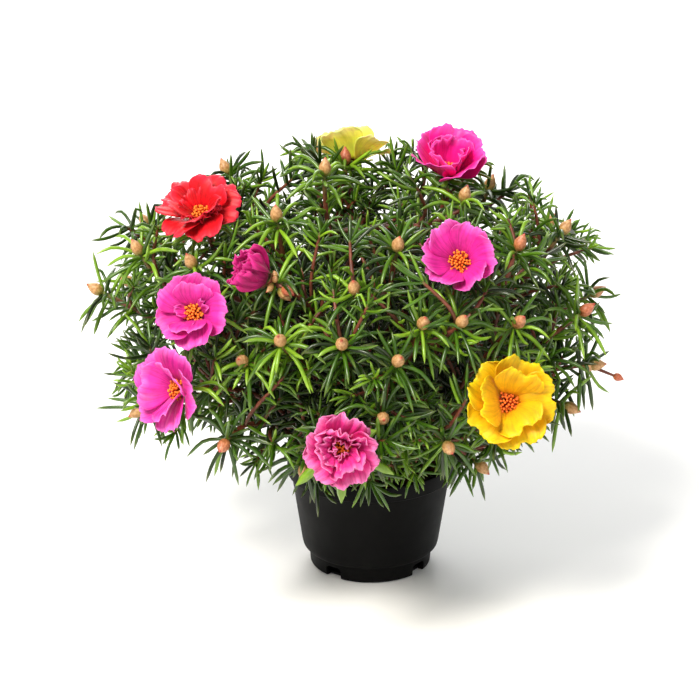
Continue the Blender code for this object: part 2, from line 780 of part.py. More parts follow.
def main():
    clear_scene()
    parts = new_collection("Potted_moss_rose")
    notches = new_collection("Pot_notches", hidden=True)
    holes = new_collection("Stem_holes", hidden=True)
    make_pot(parts, notches)
    roots = make_plant(parts)
    make_soil(parts, roots, holes)


main()
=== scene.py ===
"""Looks of a moss rose in a black nursery pot: leafy stems, buds, silky blooms, compost and moulded pot.

Everything is in metres, +Z up. The front of the plant faces -Y and the origin is the middle of the pot's base.
"""

import json
import logging
import math
import random
from dataclasses import dataclass, field
from enum import Enum
from itertools import combinations
from typing import Iterable

import bmesh
import bpy
from bpy.types import ID, Material, Mesh, Node, NodeSocket, NodeTree, Object
from mathutils import Matrix, Vector, kdtree, noise
from mathutils.bvhtree import BVHTree

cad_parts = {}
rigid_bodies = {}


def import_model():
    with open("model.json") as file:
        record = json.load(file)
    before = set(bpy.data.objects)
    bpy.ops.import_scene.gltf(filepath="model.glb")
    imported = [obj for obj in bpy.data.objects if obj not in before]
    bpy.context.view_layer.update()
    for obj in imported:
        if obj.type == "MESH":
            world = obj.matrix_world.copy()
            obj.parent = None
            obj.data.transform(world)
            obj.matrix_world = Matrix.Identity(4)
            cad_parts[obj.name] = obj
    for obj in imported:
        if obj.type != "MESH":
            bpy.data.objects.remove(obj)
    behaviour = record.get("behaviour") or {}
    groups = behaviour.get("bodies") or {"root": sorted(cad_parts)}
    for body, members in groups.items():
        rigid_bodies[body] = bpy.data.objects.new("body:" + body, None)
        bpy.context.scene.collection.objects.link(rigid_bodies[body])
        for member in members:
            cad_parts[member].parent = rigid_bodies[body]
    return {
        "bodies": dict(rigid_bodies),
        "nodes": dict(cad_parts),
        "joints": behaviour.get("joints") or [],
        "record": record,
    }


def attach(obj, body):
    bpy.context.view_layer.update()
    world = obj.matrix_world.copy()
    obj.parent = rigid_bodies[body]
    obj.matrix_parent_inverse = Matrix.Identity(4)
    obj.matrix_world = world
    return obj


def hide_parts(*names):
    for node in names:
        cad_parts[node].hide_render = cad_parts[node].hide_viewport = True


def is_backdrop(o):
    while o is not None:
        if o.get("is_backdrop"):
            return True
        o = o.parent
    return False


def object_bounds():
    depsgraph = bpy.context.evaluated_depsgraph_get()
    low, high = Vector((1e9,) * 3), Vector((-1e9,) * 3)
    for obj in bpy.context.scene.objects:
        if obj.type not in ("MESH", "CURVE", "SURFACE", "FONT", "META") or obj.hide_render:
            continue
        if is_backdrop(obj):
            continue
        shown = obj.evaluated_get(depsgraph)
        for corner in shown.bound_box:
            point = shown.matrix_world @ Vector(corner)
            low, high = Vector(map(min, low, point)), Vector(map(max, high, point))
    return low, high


LOG = logging.getLogger("moss_rose")
MM = 0.001
UP = Vector((0.0, 0.0, 1.0))
BODY = "root"
GOLDEN_ANGLE = math.radians(137.5)
WHITE, BLACK = "#FFFFFF", "#000000"

# The mound of shoot tips, an ellipsoid over the pot and a little to its left
MOUND_CENTRE = Vector((-12, 0, 155)) * MM
MOUND_RADII = Vector((147, 140, 92)) * MM
# Where the side shoots that fill the crown lean to
CROWN = MOUND_CENTRE + UP * 95 * MM
# Shares of the mound's radii: leaves deeper than the first show only in gaps, and none ends past the second
DEEP_SHARE = 0.84
OUTER_SHARE = 1.19

# Bloom hub and where the claws of outer and inner petals stand on it (radius, height)
HUB_RADIUS = 5.0 * MM
PETAL_STARTS = ((3.6 * MM, 1.0 * MM), (3.5 * MM, 2.0 * MM))
PETALOID_START = (3.5 * MM, 2.3 * MM)

# Pot and soil
POT_HEIGHT = 68 * MM
RIM_RADIUS = 51 * MM
BODY_TOP_RADIUS = 48.4 * MM
BODY_BOTTOM_RADIUS = 42 * MM
FOOT_RADIUS = 37 * MM
FOOT_HEIGHT = 10 * MM
RIM_BAND = 10 * MM
SOIL_LEVEL = 58 * MM
SOIL_CROWN = 3 * MM

# What the corners of a stem's solid are told apart by: a leaf or a bud is a four-sided point, from its widest
# ring to its tip, and a shoot is a tube of square rings
SAME_CORNER = 0.01 * MM
POINT_LENGTH = 4 * MM
POINT_RADIUS = 4 * MM
LEAF_LENGTH = 9 * MM
RING_SIDE = (1.7 * MM, 3 * MM)
RING_RADIUS = (1.35 * MM, 1.95 * MM)
RING_ERROR = 0.04 * MM


def linear(hex_colour: str) -> tuple[float, float, float, float]:
    """Turns an sRGB hex colour to linear.

    Args:
        hex_colour: six hex digits after a hash.

    Returns:
        Linear red, green, blue and an alpha of 1.
    """
    parts = [int(hex_colour[i : i + 2], 16) / 255 for i in (1, 3, 5)]
    red, green, blue = (p / 12.92 if p <= 0.04045 else ((p + 0.055) / 1.055) ** 2.4 for p in parts)
    return red, green, blue, 1.0


def add_node(tree: NodeTree, kind: str, sockets: dict | None = None, **settings) -> Node:
    """Adds a node with its settings and its inputs.

    Args:
        tree: the node tree that gets the node.
        kind: the node's type name.
        sockets: input name or index to a value, or to an output socket that is linked to it.
        settings: attributes of the node.

    Returns:
        The new node.
    """
    node = tree.nodes.new(kind)
    for name, value in settings.items():
        setattr(node, name, value)
    for key, value in (sockets or {}).items():
        if isinstance(value, NodeSocket):
            tree.links.new(value, node.inputs[key])
        else:
            node.inputs[key].default_value = value
    return node


def add_ramp(tree: NodeTree, factor: NodeSocket, stops: tuple) -> NodeSocket:
    """Adds a colour ramp.

    Args:
        tree: the material's node tree.
        factor: what drives the ramp.
        stops: pairs of place and hex colour.

    Returns:
        The ramp's colour output.
    """
    node = add_node(tree, "ShaderNodeValToRGB", {"Fac": factor})
    while len(node.color_ramp.elements) < len(stops):
        node.color_ramp.elements.new(0.5)
    for element, (place, colour) in zip(node.color_ramp.elements, stops):
        element.position = place
        element.color = linear(colour)
    return node.outputs["Color"]


def mix_colours(
    tree: NodeTree, factor: NodeSocket | float, first: NodeSocket | tuple, second: NodeSocket | tuple,
    blend: str = "MIX",
) -> NodeSocket:
    """Mixes two colours, each a socket or a linear colour.

    Args:
        tree: the material's node tree.
        factor: share of the second colour.
        first: the colour at factor 0.
        second: the colour at factor 1.
        blend: the way they mix.

    Returns:
        The mixed colour's socket.
    """
    colours = {0: factor, 6: first, 7: second}
    return add_node(tree, "ShaderNodeMix", colours, data_type="RGBA", blend_type=blend).outputs[2]


@dataclass(frozen=True)
class Finish:
    """A material with the settings that all finishes share."""

    name: str
    roughness: float = 0.5
    bump_height: float = 0.2 * MM

    def start(self, sockets: dict | None = None) -> tuple[Material, NodeTree, Node]:
        """Makes the material.

        Args:
            sockets: values of the shader's inputs, besides its roughness.

        Returns:
            The material, its tree and its shader.
        """
        made = bpy.data.materials.new(self.name)
        made.use_nodes = True
        shader = made.node_tree.nodes["Principled BSDF"]
        for socket, value in {"Roughness": self.roughness, **(sockets or {})}.items():
            shader.inputs[socket].default_value = value
        return made, made.node_tree, shader

    def attribute(self, tree: NodeTree, name: str) -> NodeSocket:
        """The value of one of the piece's own attributes."""
        return add_node(tree, "ShaderNodeAttribute", attribute_name=name).outputs["Fac"]

    def texture(self, tree: NodeTree, size_mm: float, detail: float = 3.0) -> NodeSocket:
        """Adds noise in object space.

        Args:
            tree: the material's node tree.
            size_mm: about how wide its blotches are.
            detail: how many finer layers it has.

        Returns:
            The noise, about 0 to 1.
        """
        place = add_node(tree, "ShaderNodeTexCoord").outputs["Object"]
        grain = {"Vector": place, "Scale": 1000.0 / size_mm, "Detail": detail, "Roughness": 0.55}
        return add_node(tree, "ShaderNodeTexNoise", grain).outputs["Fac"]

    def mottle(
        self, tree: NodeTree, colour: NodeSocket, size_mm: float, shade: str, stops: tuple = (0.3, 0.7)
    ) -> NodeSocket:
        """Darkens a colour in blotches.

        Args:
            tree: the material's node tree.
            colour: what is darkened.
            size_mm: about how wide the blotches are.
            shade: hex colour that the darkest of them multiply by.
            stops: where in the noise that shade ends and the plain colour starts.

        Returns:
            The mottled colour.
        """
        blotch = add_ramp(tree, self.texture(tree, size_mm), ((stops[0], shade), (stops[1], WHITE)))
        return mix_colours(tree, 1.0, colour, blotch, "MULTIPLY")

    def cover(self, tree: NodeTree, shader: Node, colour: NodeSocket, height: NodeSocket, strength: float) -> None:
        """Gives the shader its colour and a fine relief.

        Args:
            tree: the material's node tree.
            shader: the material's shader.
            colour: its base colour.
            height: what raises the surface, from 0 to 1.
            strength: how much of the bump height shows.
        """
        sockets = {"Height": height, "Distance": self.bump_height, "Strength": strength}
        bump = add_node(tree, "ShaderNodeBump", sockets)
        tree.links.new(bump.outputs["Normal"], shader.inputs["Normal"])
        tree.links.new(colour, shader.inputs["Base Color"])


@dataclass(frozen=True)
class SucculentLeaf(Finish):
    """Needle leaf of a moss rose: water-filled, smooth, waxy, so it has a soft highlight along its length.

    Its tone goes from leaves deep in the mound, which are darkened there as painted shade, over grown ones to young
    yellow-green ones, and all pale a little at the tip.
    """

    name: str = "succulent_leaf"
    roughness: float = 0.33
    shade: str = "#0A1200"
    deep: str = "#213900"
    middle: str = "#46700A"
    young: str = "#94BE2C"
    tip: str = "#C0CE6A"
    blotch: str = "#B4BE94"

    def material(self) -> Material:
        """Makes the leaf's material."""
        made, tree, shader = self.start({
            "Specular IOR Level": 0.6, "Subsurface Weight": 0.12, "Subsurface Scale": 1.5 * MM,
            "Subsurface Radius": (0.5, 1.0, 0.25),
        })
        # The shade and deep stops are also the painted shade that leaves deep in the mound are given
        stops = ((0.0, self.shade), (0.28, self.deep), (0.6, self.middle), (1.0, self.young))
        body = add_ramp(tree, self.attribute(tree, "tone"), stops)
        body = self.mottle(tree, body, 9.0, self.blotch)
        tip_share = add_ramp(tree, self.attribute(tree, "along"), ((0.72, BLACK), (1.0, "#707070")))
        body = mix_colours(tree, tip_share, body, linear(self.tip))
        self.cover(tree, shader, body, self.texture(tree, 1.2), 0.25)
        return made


@dataclass(frozen=True)
class FleshyStem(Finish):
    """Moss rose stem: smooth and fleshy, brown at the root, reddish along its length and green at its end."""

    name: str = "fleshy_stem"
    root: str = "#6B4A32"
    red: str = "#84452F"
    green: str = "#76863E"
    blotch: str = "#A88F80"

    def material(self) -> Material:
        """Makes the stem's material."""
        made, tree, shader = self.start()
        stops = ((0.0, self.root), (0.5, self.red), (0.93, self.red), (1.0, self.green))
        body = add_ramp(tree, self.attribute(tree, "along"), stops)
        self.cover(tree, shader, self.mottle(tree, body, 5.0, self.blotch), self.texture(tree, 0.8), 0.4)
        return made


@dataclass(frozen=True)
class BudSkin(Finish):
    """Closed bud: two thin sepals over the folded petals, tan to peach, red at the point and where it is ripe."""

    name: str = "bud_skin"
    roughness: float = 0.46
    base: str = "#7E8C34"
    middle: str = "#C89A62"
    peach: str = "#D2A678"
    ripe: str = "#C83A3C"
    streak: str = "#C8B49A"

    def material(self) -> Material:
        """Makes the bud's material."""
        made, tree, shader = self.start()
        stops = ((0.0, self.base), (0.42, self.middle), (0.85, self.peach), (1.0, self.ripe))
        body = add_ramp(tree, self.attribute(tree, "along"), stops)
        ripeness = add_ramp(tree, self.attribute(tree, "tone"), ((0.75, BLACK), (1.0, "#CCCCCC")))
        body = mix_colours(tree, ripeness, body, linear(self.ripe))
        body = self.mottle(tree, body, 1.5, self.streak, (0.35, 0.65))
        self.cover(tree, shader, body, self.texture(tree, 0.9), 0.3)
        return made


@dataclass(frozen=True, kw_only=True)
class SilkPetal(Finish):
    """Petal: thin and silky, with fine veins that fan out from the claw, darkened also as painted shade of its fine
    folds, and a softer, lighter frill.
    """

    throat: str
    body: str
    frill: str
    vein_and_fold_shade: float = 0.35
    glow: float = 0.3

    def material(self) -> Material:
        """Makes the petal's material."""
        made, tree, shader = self.start({
            "Specular IOR Level": 0.3, "Sheen Weight": 0.05, "Sheen Roughness": 0.4,
            "Subsurface Weight": self.glow, "Subsurface Scale": 3 * MM, "Subsurface Radius": (1.0, 0.5, 0.6),
        })
        sheet = add_node(tree, "ShaderNodeUVMap", uv_map="petal").outputs["UV"]
        along = add_node(tree, "ShaderNodeSeparateXYZ", {"Vector": sheet}).outputs["Y"]
        body = add_ramp(tree, along, ((0.0, self.throat), (0.35, self.body), (0.75, self.body), (1.0, self.frill)))
        # Veins about 0.7 mm apart, drawn a little coarser than the real ones so that they show; their dark lines
        # are partly the veins and partly painted shade of the petal's fine folds
        fan = add_node(tree, "ShaderNodeMapping", {"Vector": sheet, "Scale": (26.0, 2.2, 1.0)}).outputs["Vector"]
        veins = add_node(tree, "ShaderNodeTexNoise", {"Vector": fan, "Scale": 1.0, "Detail": 4.0}).outputs["Fac"]
        vein_and_fold_lines = add_ramp(tree, veins, ((0.38, "#8C8C8C"), (0.56, WHITE)))
        body = mix_colours(tree, self.vein_and_fold_shade, body, mix_colours(tree, 1.0, body, vein_and_fold_lines, "MULTIPLY"))
        self.cover(tree, shader, self.mottle(tree, body, 8.0, "#D8D8D8"), veins, 0.5)
        return made


@dataclass(frozen=True)
class Pollen(Finish):
    """Stamens: matte filaments from deep orange at the foot to powdery pollen at the end."""

    name: str = "stamen_pollen"
    roughness: float = 0.7
    foot: str = "#9A240E"
    filament: str = "#DC5014"
    anther: str = "#F08422"

    def material(self) -> Material:
        """Makes the stamens' material."""
        made, tree, shader = self.start()
        stops = ((0.0, self.foot), (0.6, self.filament), (1.0, self.anther))
        body = add_ramp(tree, self.attribute(tree, "along"), stops)
        self.cover(tree, shader, body, self.texture(tree, 0.4), 0.5)
        return made


@dataclass(frozen=True)
class MouldedPotPlastic(Finish):
    """Injection-moulded polypropylene nursery pot: near black, satin, dusty where soil and water splash."""

    name: str = "moulded_black_polypropylene"
    roughness: float = 0.52
    body: str = "#030303"
    dust: str = "#15120F"
    splash: float = 24 * MM

    def material(self) -> Material:
        """Makes the pot's material."""
        made, tree, shader = self.start({"Specular IOR Level": 0.1})
        place = add_node(tree, "ShaderNodeTexCoord").outputs["Object"]
        height = add_node(tree, "ShaderNodeSeparateXYZ", {"Vector": place}).outputs["Z"]
        dusty = {"Value": height, "From Min": self.splash, "From Max": 0.0, "To Min": 0.02, "To Max": 0.5}
        low = add_node(tree, "ShaderNodeMapRange", dusty).outputs["Result"]
        spots = add_ramp(tree, self.texture(tree, 6.0, 8.0), ((0.45, BLACK), (0.75, WHITE)))
        share = add_node(tree, "ShaderNodeMath", {0: low, 1: spots}, operation="MULTIPLY").outputs["Value"]
        body = mix_colours(tree, share, linear(self.body), linear(self.dust))
        wear = {
            "Value": self.texture(tree, 14.0, 6.0), "To Min": self.roughness - 0.08, "To Max": self.roughness + 0.2,
        }
        rough = add_node(tree, "ShaderNodeMapRange", wear)
        tree.links.new(rough.outputs["Result"], shader.inputs["Roughness"])
        self.cover(tree, shader, body, self.texture(tree, 0.7), 0.12)
        return made


@dataclass(frozen=True)
class PottingCompost(Finish):
    """Moist peat compost: dark brown crumbs and fibres, lighter where a crumb has dried."""

    name: str = "potting_compost"
    roughness: float = 0.9
    bump_height: float = 0.8 * MM
    wet: str = "#1E140C"
    dry: str = "#4C3623"

    def material(self) -> Material:
        """Makes the compost's material."""
        made, tree, shader = self.start()
        body = add_ramp(tree, self.texture(tree, 3.5, 8.0), ((0.35, self.wet), (0.7, self.dry)))
        self.cover(tree, shader, body, self.texture(tree, 1.4, 6.0), 0.8)
        return made


def place_in_scene(name: str, data: ID) -> Object:
    """Puts a mesh, a camera or a light in the scene.

    Args:
        name: the object's name.
        data: what the object shows.

    Returns:
        The object, at the origin.
    """
    made = bpy.data.objects.new(name, data)
    bpy.context.scene.collection.objects.link(made)
    return made


def draw_mesh(name: str, points: list, edges: list, faces: list) -> Mesh:
    """Makes a mesh from points, edges and faces.

    Args:
        name: the mesh's name.
        points: where its points are.
        edges: pairs of point numbers.
        faces: rings of point numbers.

    Returns:
        The mesh.
    """
    mesh = bpy.data.meshes.new(name)
    mesh.from_pydata(points, edges, faces)
    return mesh


def dress(mesh: Mesh, skin: Material) -> None:
    """Gives a mesh one material and smooth faces.

    Args:
        mesh: the mesh.
        skin: its material.
    """
    mesh.materials.clear()
    mesh.materials.append(skin)
    mesh.polygons.foreach_set("use_smooth", [True] * len(mesh.polygons))


def plain_copy(obj: Object, name: str) -> Object:
    """Turns an object with modifiers into a plain mesh object and removes the first.

    Args:
        obj: the object with its modifiers.
        name: the new object's name.

    Returns:
        The plain object, at the origin.
    """
    bpy.context.view_layer.update()
    graph = bpy.context.evaluated_depsgraph_get()
    mesh = bpy.data.meshes.new_from_object(obj.evaluated_get(graph))
    bpy.data.objects.remove(obj)
    mesh.name = name
    return place_in_scene(name, mesh)


def enrol(piece: Object, slot: str, *nodes: str) -> None:
    """Makes a finished piece ride on the part and hides the solids that it stands for.

    Args:
        piece: the finished object at the origin.
        slot: the record's material slot; not used.
        nodes: solids that the piece replaces.
    """
    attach(piece, BODY)
    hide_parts(*nodes)
    LOG.info("%s: %d triangles", piece.name, sum(len(p.vertices) - 2 for p in piece.data.polygons))


class RodKind(Enum):
    """What a rod of a shoot is. The value is kept with each point of its path."""

    STEM = 0
    TWIG = 1
    LEAF = 2
    BUD = 3
    CALYX = 4
    INNER = 5


@dataclass(frozen=True)
class RodForm:
    """Rings along a kind of rod, sides round it and its profile: (share of its length, share of its radius)."""

    rings: int
    sides: int
    profile: tuple


ROD_FORMS = {
    RodKind.STEM: RodForm(24, 8, ((0.0, 1.0), (0.5, 0.95), (1.0, 0.8))),
    RodKind.TWIG: RodForm(8, 6, ((0.0, 1.0), (0.5, 0.9), (1.0, 0.7))),
    RodKind.LEAF: RodForm(7, 6, ((0.0, 0.42), (0.1, 0.8), (0.3, 1.0), (0.72, 0.96), (0.92, 0.6), (1.0, 0.1))),
    RodKind.BUD: RodForm(11, 10, ((0.0, 0.42), (0.16, 0.86), (0.4, 1.0), (0.68, 0.72), (0.88, 0.3), (1.0, 0.05))),
    RodKind.CALYX: RodForm(7, 12, ((0.0, 0.42), (0.35, 0.6), (0.8, 0.95), (1.0, 1.0))),
    RodKind.INNER: RodForm(5, 5, ((0.0, 0.5), (0.3, 1.0), (0.75, 0.95), (1.0, 0.1))),
}


@dataclass
class Rod:
    """A path with a thickness and a tone: a stem, a leaf or a bud."""

    kind: RodKind
    points: list[Vector]
    radius: float
    tone: float

    @classmethod
    def straight(cls, kind: RodKind, start: Vector, end: Vector, radius: float, tone: float) -> "Rod":
        """A rod along a straight line."""
        return cls(kind, [start, start.lerp(end, 0.5), end], radius, tone)


def start_tree(name: str, inputs: dict[str, str]) -> tuple[NodeTree, Node]:
    """Starts a Geometry Nodes tree that takes a mesh and gives one.

    Args:
        name: the tree's name.
        inputs: the names of its further inputs, and the types of their sockets.

    Returns:
        The tree and its input node.
    """
    tree = bpy.data.node_groups.new(name, "GeometryNodeTree")
    tree.interface.new_socket("Geometry", in_out="OUTPUT", socket_type="NodeSocketGeometry")
    for socket, kind in {"Geometry": "NodeSocketGeometry", **inputs}.items():
        tree.interface.new_socket(socket, in_out="INPUT", socket_type=kind)
    return tree, add_node(tree, "NodeGroupInput")


def add_tubes(
    tree: NodeTree, paths: NodeSocket, rings: int, sides: int, radius: NodeSocket
) -> tuple[NodeSocket, NodeSocket]:
    """Adds the nodes that turn lines of edges into smooth closed tubes.

    Args:
        tree: the tree that gets them.
        paths: a mesh of lines.
        rings: rings along each tube.
        sides: sides round it.
        radius: its radius at each ring.

    Returns:
        The tubes, and the curves in their middles. The attribute "along" is the share of each one's length.
    """
    curves = add_node(tree, "GeometryNodeMeshToCurve", {"Mesh": paths}).outputs["Curve"]
    smooth = add_node(tree, "GeometryNodeCurveSplineType", {"Curve": curves}, spline_type="CATMULL_ROM")
    count = {"Curve": smooth.outputs["Curve"], "Count": rings}
    even = add_node(tree, "GeometryNodeResampleCurve", count).outputs["Curve"]
    share = add_node(tree, "GeometryNodeSplineParameter").outputs["Factor"]
    named = {"Geometry": even, "Name": "along", "Value": share}
    marked = add_node(tree, "GeometryNodeStoreNamedAttribute", named, domain="POINT").outputs["Geometry"]
    ring = add_node(tree, "GeometryNodeCurvePrimitiveCircle", {"Resolution": sides, "Radius": 1.0}).outputs["Curve"]
    skin = {"Curve": marked, "Profile Curve": ring, "Scale": radius, "Fill Caps": True}
    return add_node(tree, "GeometryNodeCurveToMesh", skin).outputs["Mesh"], marked


def add_skin(tree: NodeTree, shape: NodeSocket, skin: NodeSocket) -> NodeSocket:
    """Adds smooth shading and a material to a mesh."""
    shaded = add_node(tree, "GeometryNodeSetShadeSmooth", {"Geometry": shape}).outputs["Geometry"]
    return add_node(tree, "GeometryNodeSetMaterial", {"Geometry": shaded, "Material": skin}).outputs["Geometry"]


def add_named(tree: NodeTree, name: str) -> NodeSocket:
    """Reads a mesh's own attribute."""
    return add_node(tree, "GeometryNodeInputNamedAttribute", {"Name": name}).outputs["Attribute"]


def shoot_tree(name: str) -> NodeTree:
    """Builds the tree that turns paths into stems, leaves and buds.

    Args:
        name: the tree's name.

    Returns:
        A tree with a material input for each kind of rod.
    """
    tree, start = start_tree(name, {f"{kind.name} skin": "NodeSocketMaterial" for kind in RodKind})
    join = add_node(tree, "GeometryNodeJoinGeometry")
    which = add_named(tree, "kind")
    for kind, form in ROD_FORMS.items():
        wanted = {"A": which, "B": float(kind.value), "Epsilon": 0.1}
        same = add_node(tree, "FunctionNodeCompare", wanted, operation="EQUAL").outputs["Result"]
        split = {"Geometry": start.outputs["Geometry"], "Selection": same}
        chosen = add_node(tree, "GeometryNodeSeparateGeometry", split).outputs["Selection"]
        share = add_node(tree, "GeometryNodeSplineParameter").outputs["Factor"]
        profile = add_node(tree, "ShaderNodeFloatCurve", {"Value": share})
        line = profile.mapping.curves[0]
        while len(line.points) < len(form.profile):
            line.points.new(0.5, 0.5)
        for knot, place in zip(line.points, form.profile):
            knot.location = place
        profile.mapping.update()
        sizes = {0: profile.outputs["Value"], 1: add_named(tree, "thick")}
        radius = add_node(tree, "ShaderNodeMath", sizes, operation="MULTIPLY").outputs["Value"]
        tubes, _ = add_tubes(tree, chosen, form.rings, form.sides, radius)
        tree.links.new(add_skin(tree, tubes, start.outputs[f"{kind.name} skin"]), join.inputs["Geometry"])
    real = add_node(tree, "GeometryNodeRealizeInstances", {"Geometry": join.outputs["Geometry"]})
    add_node(tree, "NodeGroupOutput", {"Geometry": real.outputs["Geometry"]})
    return tree


def tuft_tree(name: str) -> NodeTree:
    """Builds the tree that turns filament paths into tubes with an anther on each end.

    Args:
        name: the tree's name.

    Returns:
        A tree with inputs for both radii and the material.
    """
    radii = {"Filament radius": "NodeSocketFloat", "Anther radius": "NodeSocketFloat"}
    tree, start = start_tree(name, {**radii, "Skin": "NodeSocketMaterial"})
    tubes, curves = add_tubes(tree, start.outputs["Geometry"], 5, 5, start.outputs["Filament radius"])
    last = add_node(tree, "GeometryNodeCurveEndpointSelection", {"Start Size": 0, "End Size": 1})
    ball = add_node(tree, "GeometryNodeMeshIcoSphere", {"Radius": 1.0, "Subdivisions": 2})
    placed = {
        "Points": curves, "Selection": last.outputs["Selection"], "Instance": ball.outputs["Mesh"],
        "Scale": start.outputs["Anther radius"],
    }
    pollen = add_node(tree, "GeometryNodeInstanceOnPoints", placed)
    join = add_node(tree, "GeometryNodeJoinGeometry", {"Geometry": pollen.outputs["Instances"]})
    tree.links.new(tubes, join.inputs["Geometry"])
    real = add_node(tree, "GeometryNodeRealizeInstances", {"Geometry": join.outputs["Geometry"]})
    dressed = add_skin(tree, real.outputs["Geometry"], start.outputs["Skin"])
    add_node(tree, "NodeGroupOutput", {"Geometry": dressed})
    return tree


def add_nodes_modifier(obj: Object, tree: NodeTree, values: dict) -> None:
    """Gives an object a Geometry Nodes modifier and sets its inputs by the names of their sockets.

    Args:
        obj: the object.
        tree: the modifier's tree.
        values: socket name to value.
    """
    modifier = obj.modifiers.new(tree.name, "NODES")
    modifier.node_group = tree
    for item in tree.interface.items_tree:
        if item.item_type == "SOCKET" and item.in_out == "INPUT" and item.name in values:
            modifier[item.identifier] = values[item.name]


def direction(around: float, up: float) -> Vector:
    """Unit vector from degrees round from the front, turning to +X, and degrees up."""
    a, e = math.radians(around), math.radians(up)
    return Vector((math.sin(a) * math.cos(e), -math.cos(a) * math.cos(e), math.sin(e)))


def mound_point(around: float, up: float, reach: float = 1.0) -> Vector:
    """A point on the mound of shoot tips, or at that share of its radii."""
    return MOUND_CENTRE + Vector(w * r * reach for w, r in zip(direction(around, up), MOUND_RADII))


def mound_share(point: Vector) -> float:
    """How far out a point is in the mound: 1 on its surface."""
    return math.sqrt(sum(((p - c) / r) ** 2 for p, c, r in zip(point, MOUND_CENTRE, MOUND_RADII)))


def mound_normal(point: Vector) -> Vector:
    """The way out of the mound at a point."""
    way = point - MOUND_CENTRE
    return Vector(w / r**2 for w, r in zip(way, MOUND_RADII)).normalized()


def soil_height(point: Vector) -> float:
    """Height of the soil's surface over a point."""
    share = min(1.0, math.hypot(point.x, point.y) / BODY_TOP_RADIUS)
    return SOIL_LEVEL + SOIL_CROWN * (1 - share**2)


def pot_room(point: Vector) -> float:
    """How far a point is clear of the soil, or of the pot's rim and what is below it.

    Args:
        point: a point round or over the pot.

    Returns:
        The distance, below 0 in the soil.
    """
    out = math.hypot(point.x, point.y)
    if out < BODY_TOP_RADIUS - 5 * MM:
        return point.z - soil_height(point)
    return math.hypot(max(out - RIM_RADIUS, 0), max(point.z - POT_HEIGHT, 0))


def samples(points: list[Vector], step: float = 2.4 * MM) -> list[Vector]:
    """Points every few millimetres along a line of points.

    Args:
        points: corners of the line.
        step: the farthest that two points are apart.

    Returns:
        The points, from the first corner to the last.
    """
    found = [points[0]]
    for a, b in zip(points, points[1:]):
        count = max(1, math.ceil((b - a).length / step))
        found += [a.lerp(b, i / count) for i in range(1, count + 1)]
    return found


class Crowd:
    """What keeps leaves apart: the room that is taken, the solids to keep off and the blooms to keep in view."""

    # How far in front of a bloom's middle nothing may stand
    SIGHT_START = 2 * MM
    SIGHT_END = 90 * MM

    def __init__(self, cell: float, solids: list[Object], sights: list[tuple]) -> None:
        """Starts with no leaves and stems.

        Args:
            cell: width of the cells that points are kept in, more than any gap between them.
            solids: what nothing may reach.
            sights: what stays in view, as (middle, way to the eye, radius).
        """
        self.cell = cell
        self.sights = sights
        self.cells: dict[tuple[int, int, int], list[Vector]] = {}
        self.trees = []
        for solid in solids:
            shape = bmesh.new()
            shape.from_mesh(solid.data)
            self.trees.append(BVHTree.FromBMesh(shape))
            shape.free()

    def key(self, point: Vector) -> tuple[int, int, int]:
        """The cell of a point."""
        return tuple(int(math.floor(c / self.cell)) for c in point)

    def add(self, points: list[Vector]) -> None:
        """Marks points as taken."""
        for point in points:
            self.cells.setdefault(self.key(point), []).append(point)

    def near(self, point: Vector) -> Iterable[Vector]:
        """Finds what is taken round a point.

        Args:
            point: the point.

        Yields:
            The taken points in its cell and the cells round it.
        """
        x, y, z = self.key(point)
        for i in (x - 1, x, x + 1):
            for j in (y - 1, y, y + 1):
                for k in (z - 1, z, z + 1):
                    yield from self.cells.get((i, j, k), ())

    def free(self, points: list[Vector], gap: float, solid_gap: float) -> bool:
        """Tells whether a line of points has room.

        Args:
            points: the line.
            gap: the room to other points, to the soil and to the pot.
            solid_gap: the room to the solids.

        Returns:
            Whether it keeps both, and leaves the blooms in view.
        """
        for point in points:
            if any((other - point).length < gap for other in self.near(point)) or pot_room(point) < gap:
                return False
        middle_and_end = (points[len(points) // 2], points[-1])
        if any(self.hides(point, *sight) for point in middle_and_end for sight in self.sights):
            return False
        return all(tree.find_nearest(p, solid_gap)[0] is None for tree in self.trees for p in points[1:])

    def hides(self, point: Vector, middle: Vector, way: Vector, radius: float) -> bool:
        """Whether a point stands in front of a bloom."""
        ahead = (point - middle).dot(way)
        return self.SIGHT_START < ahead < self.SIGHT_END and (point - middle - way * ahead).length < radius


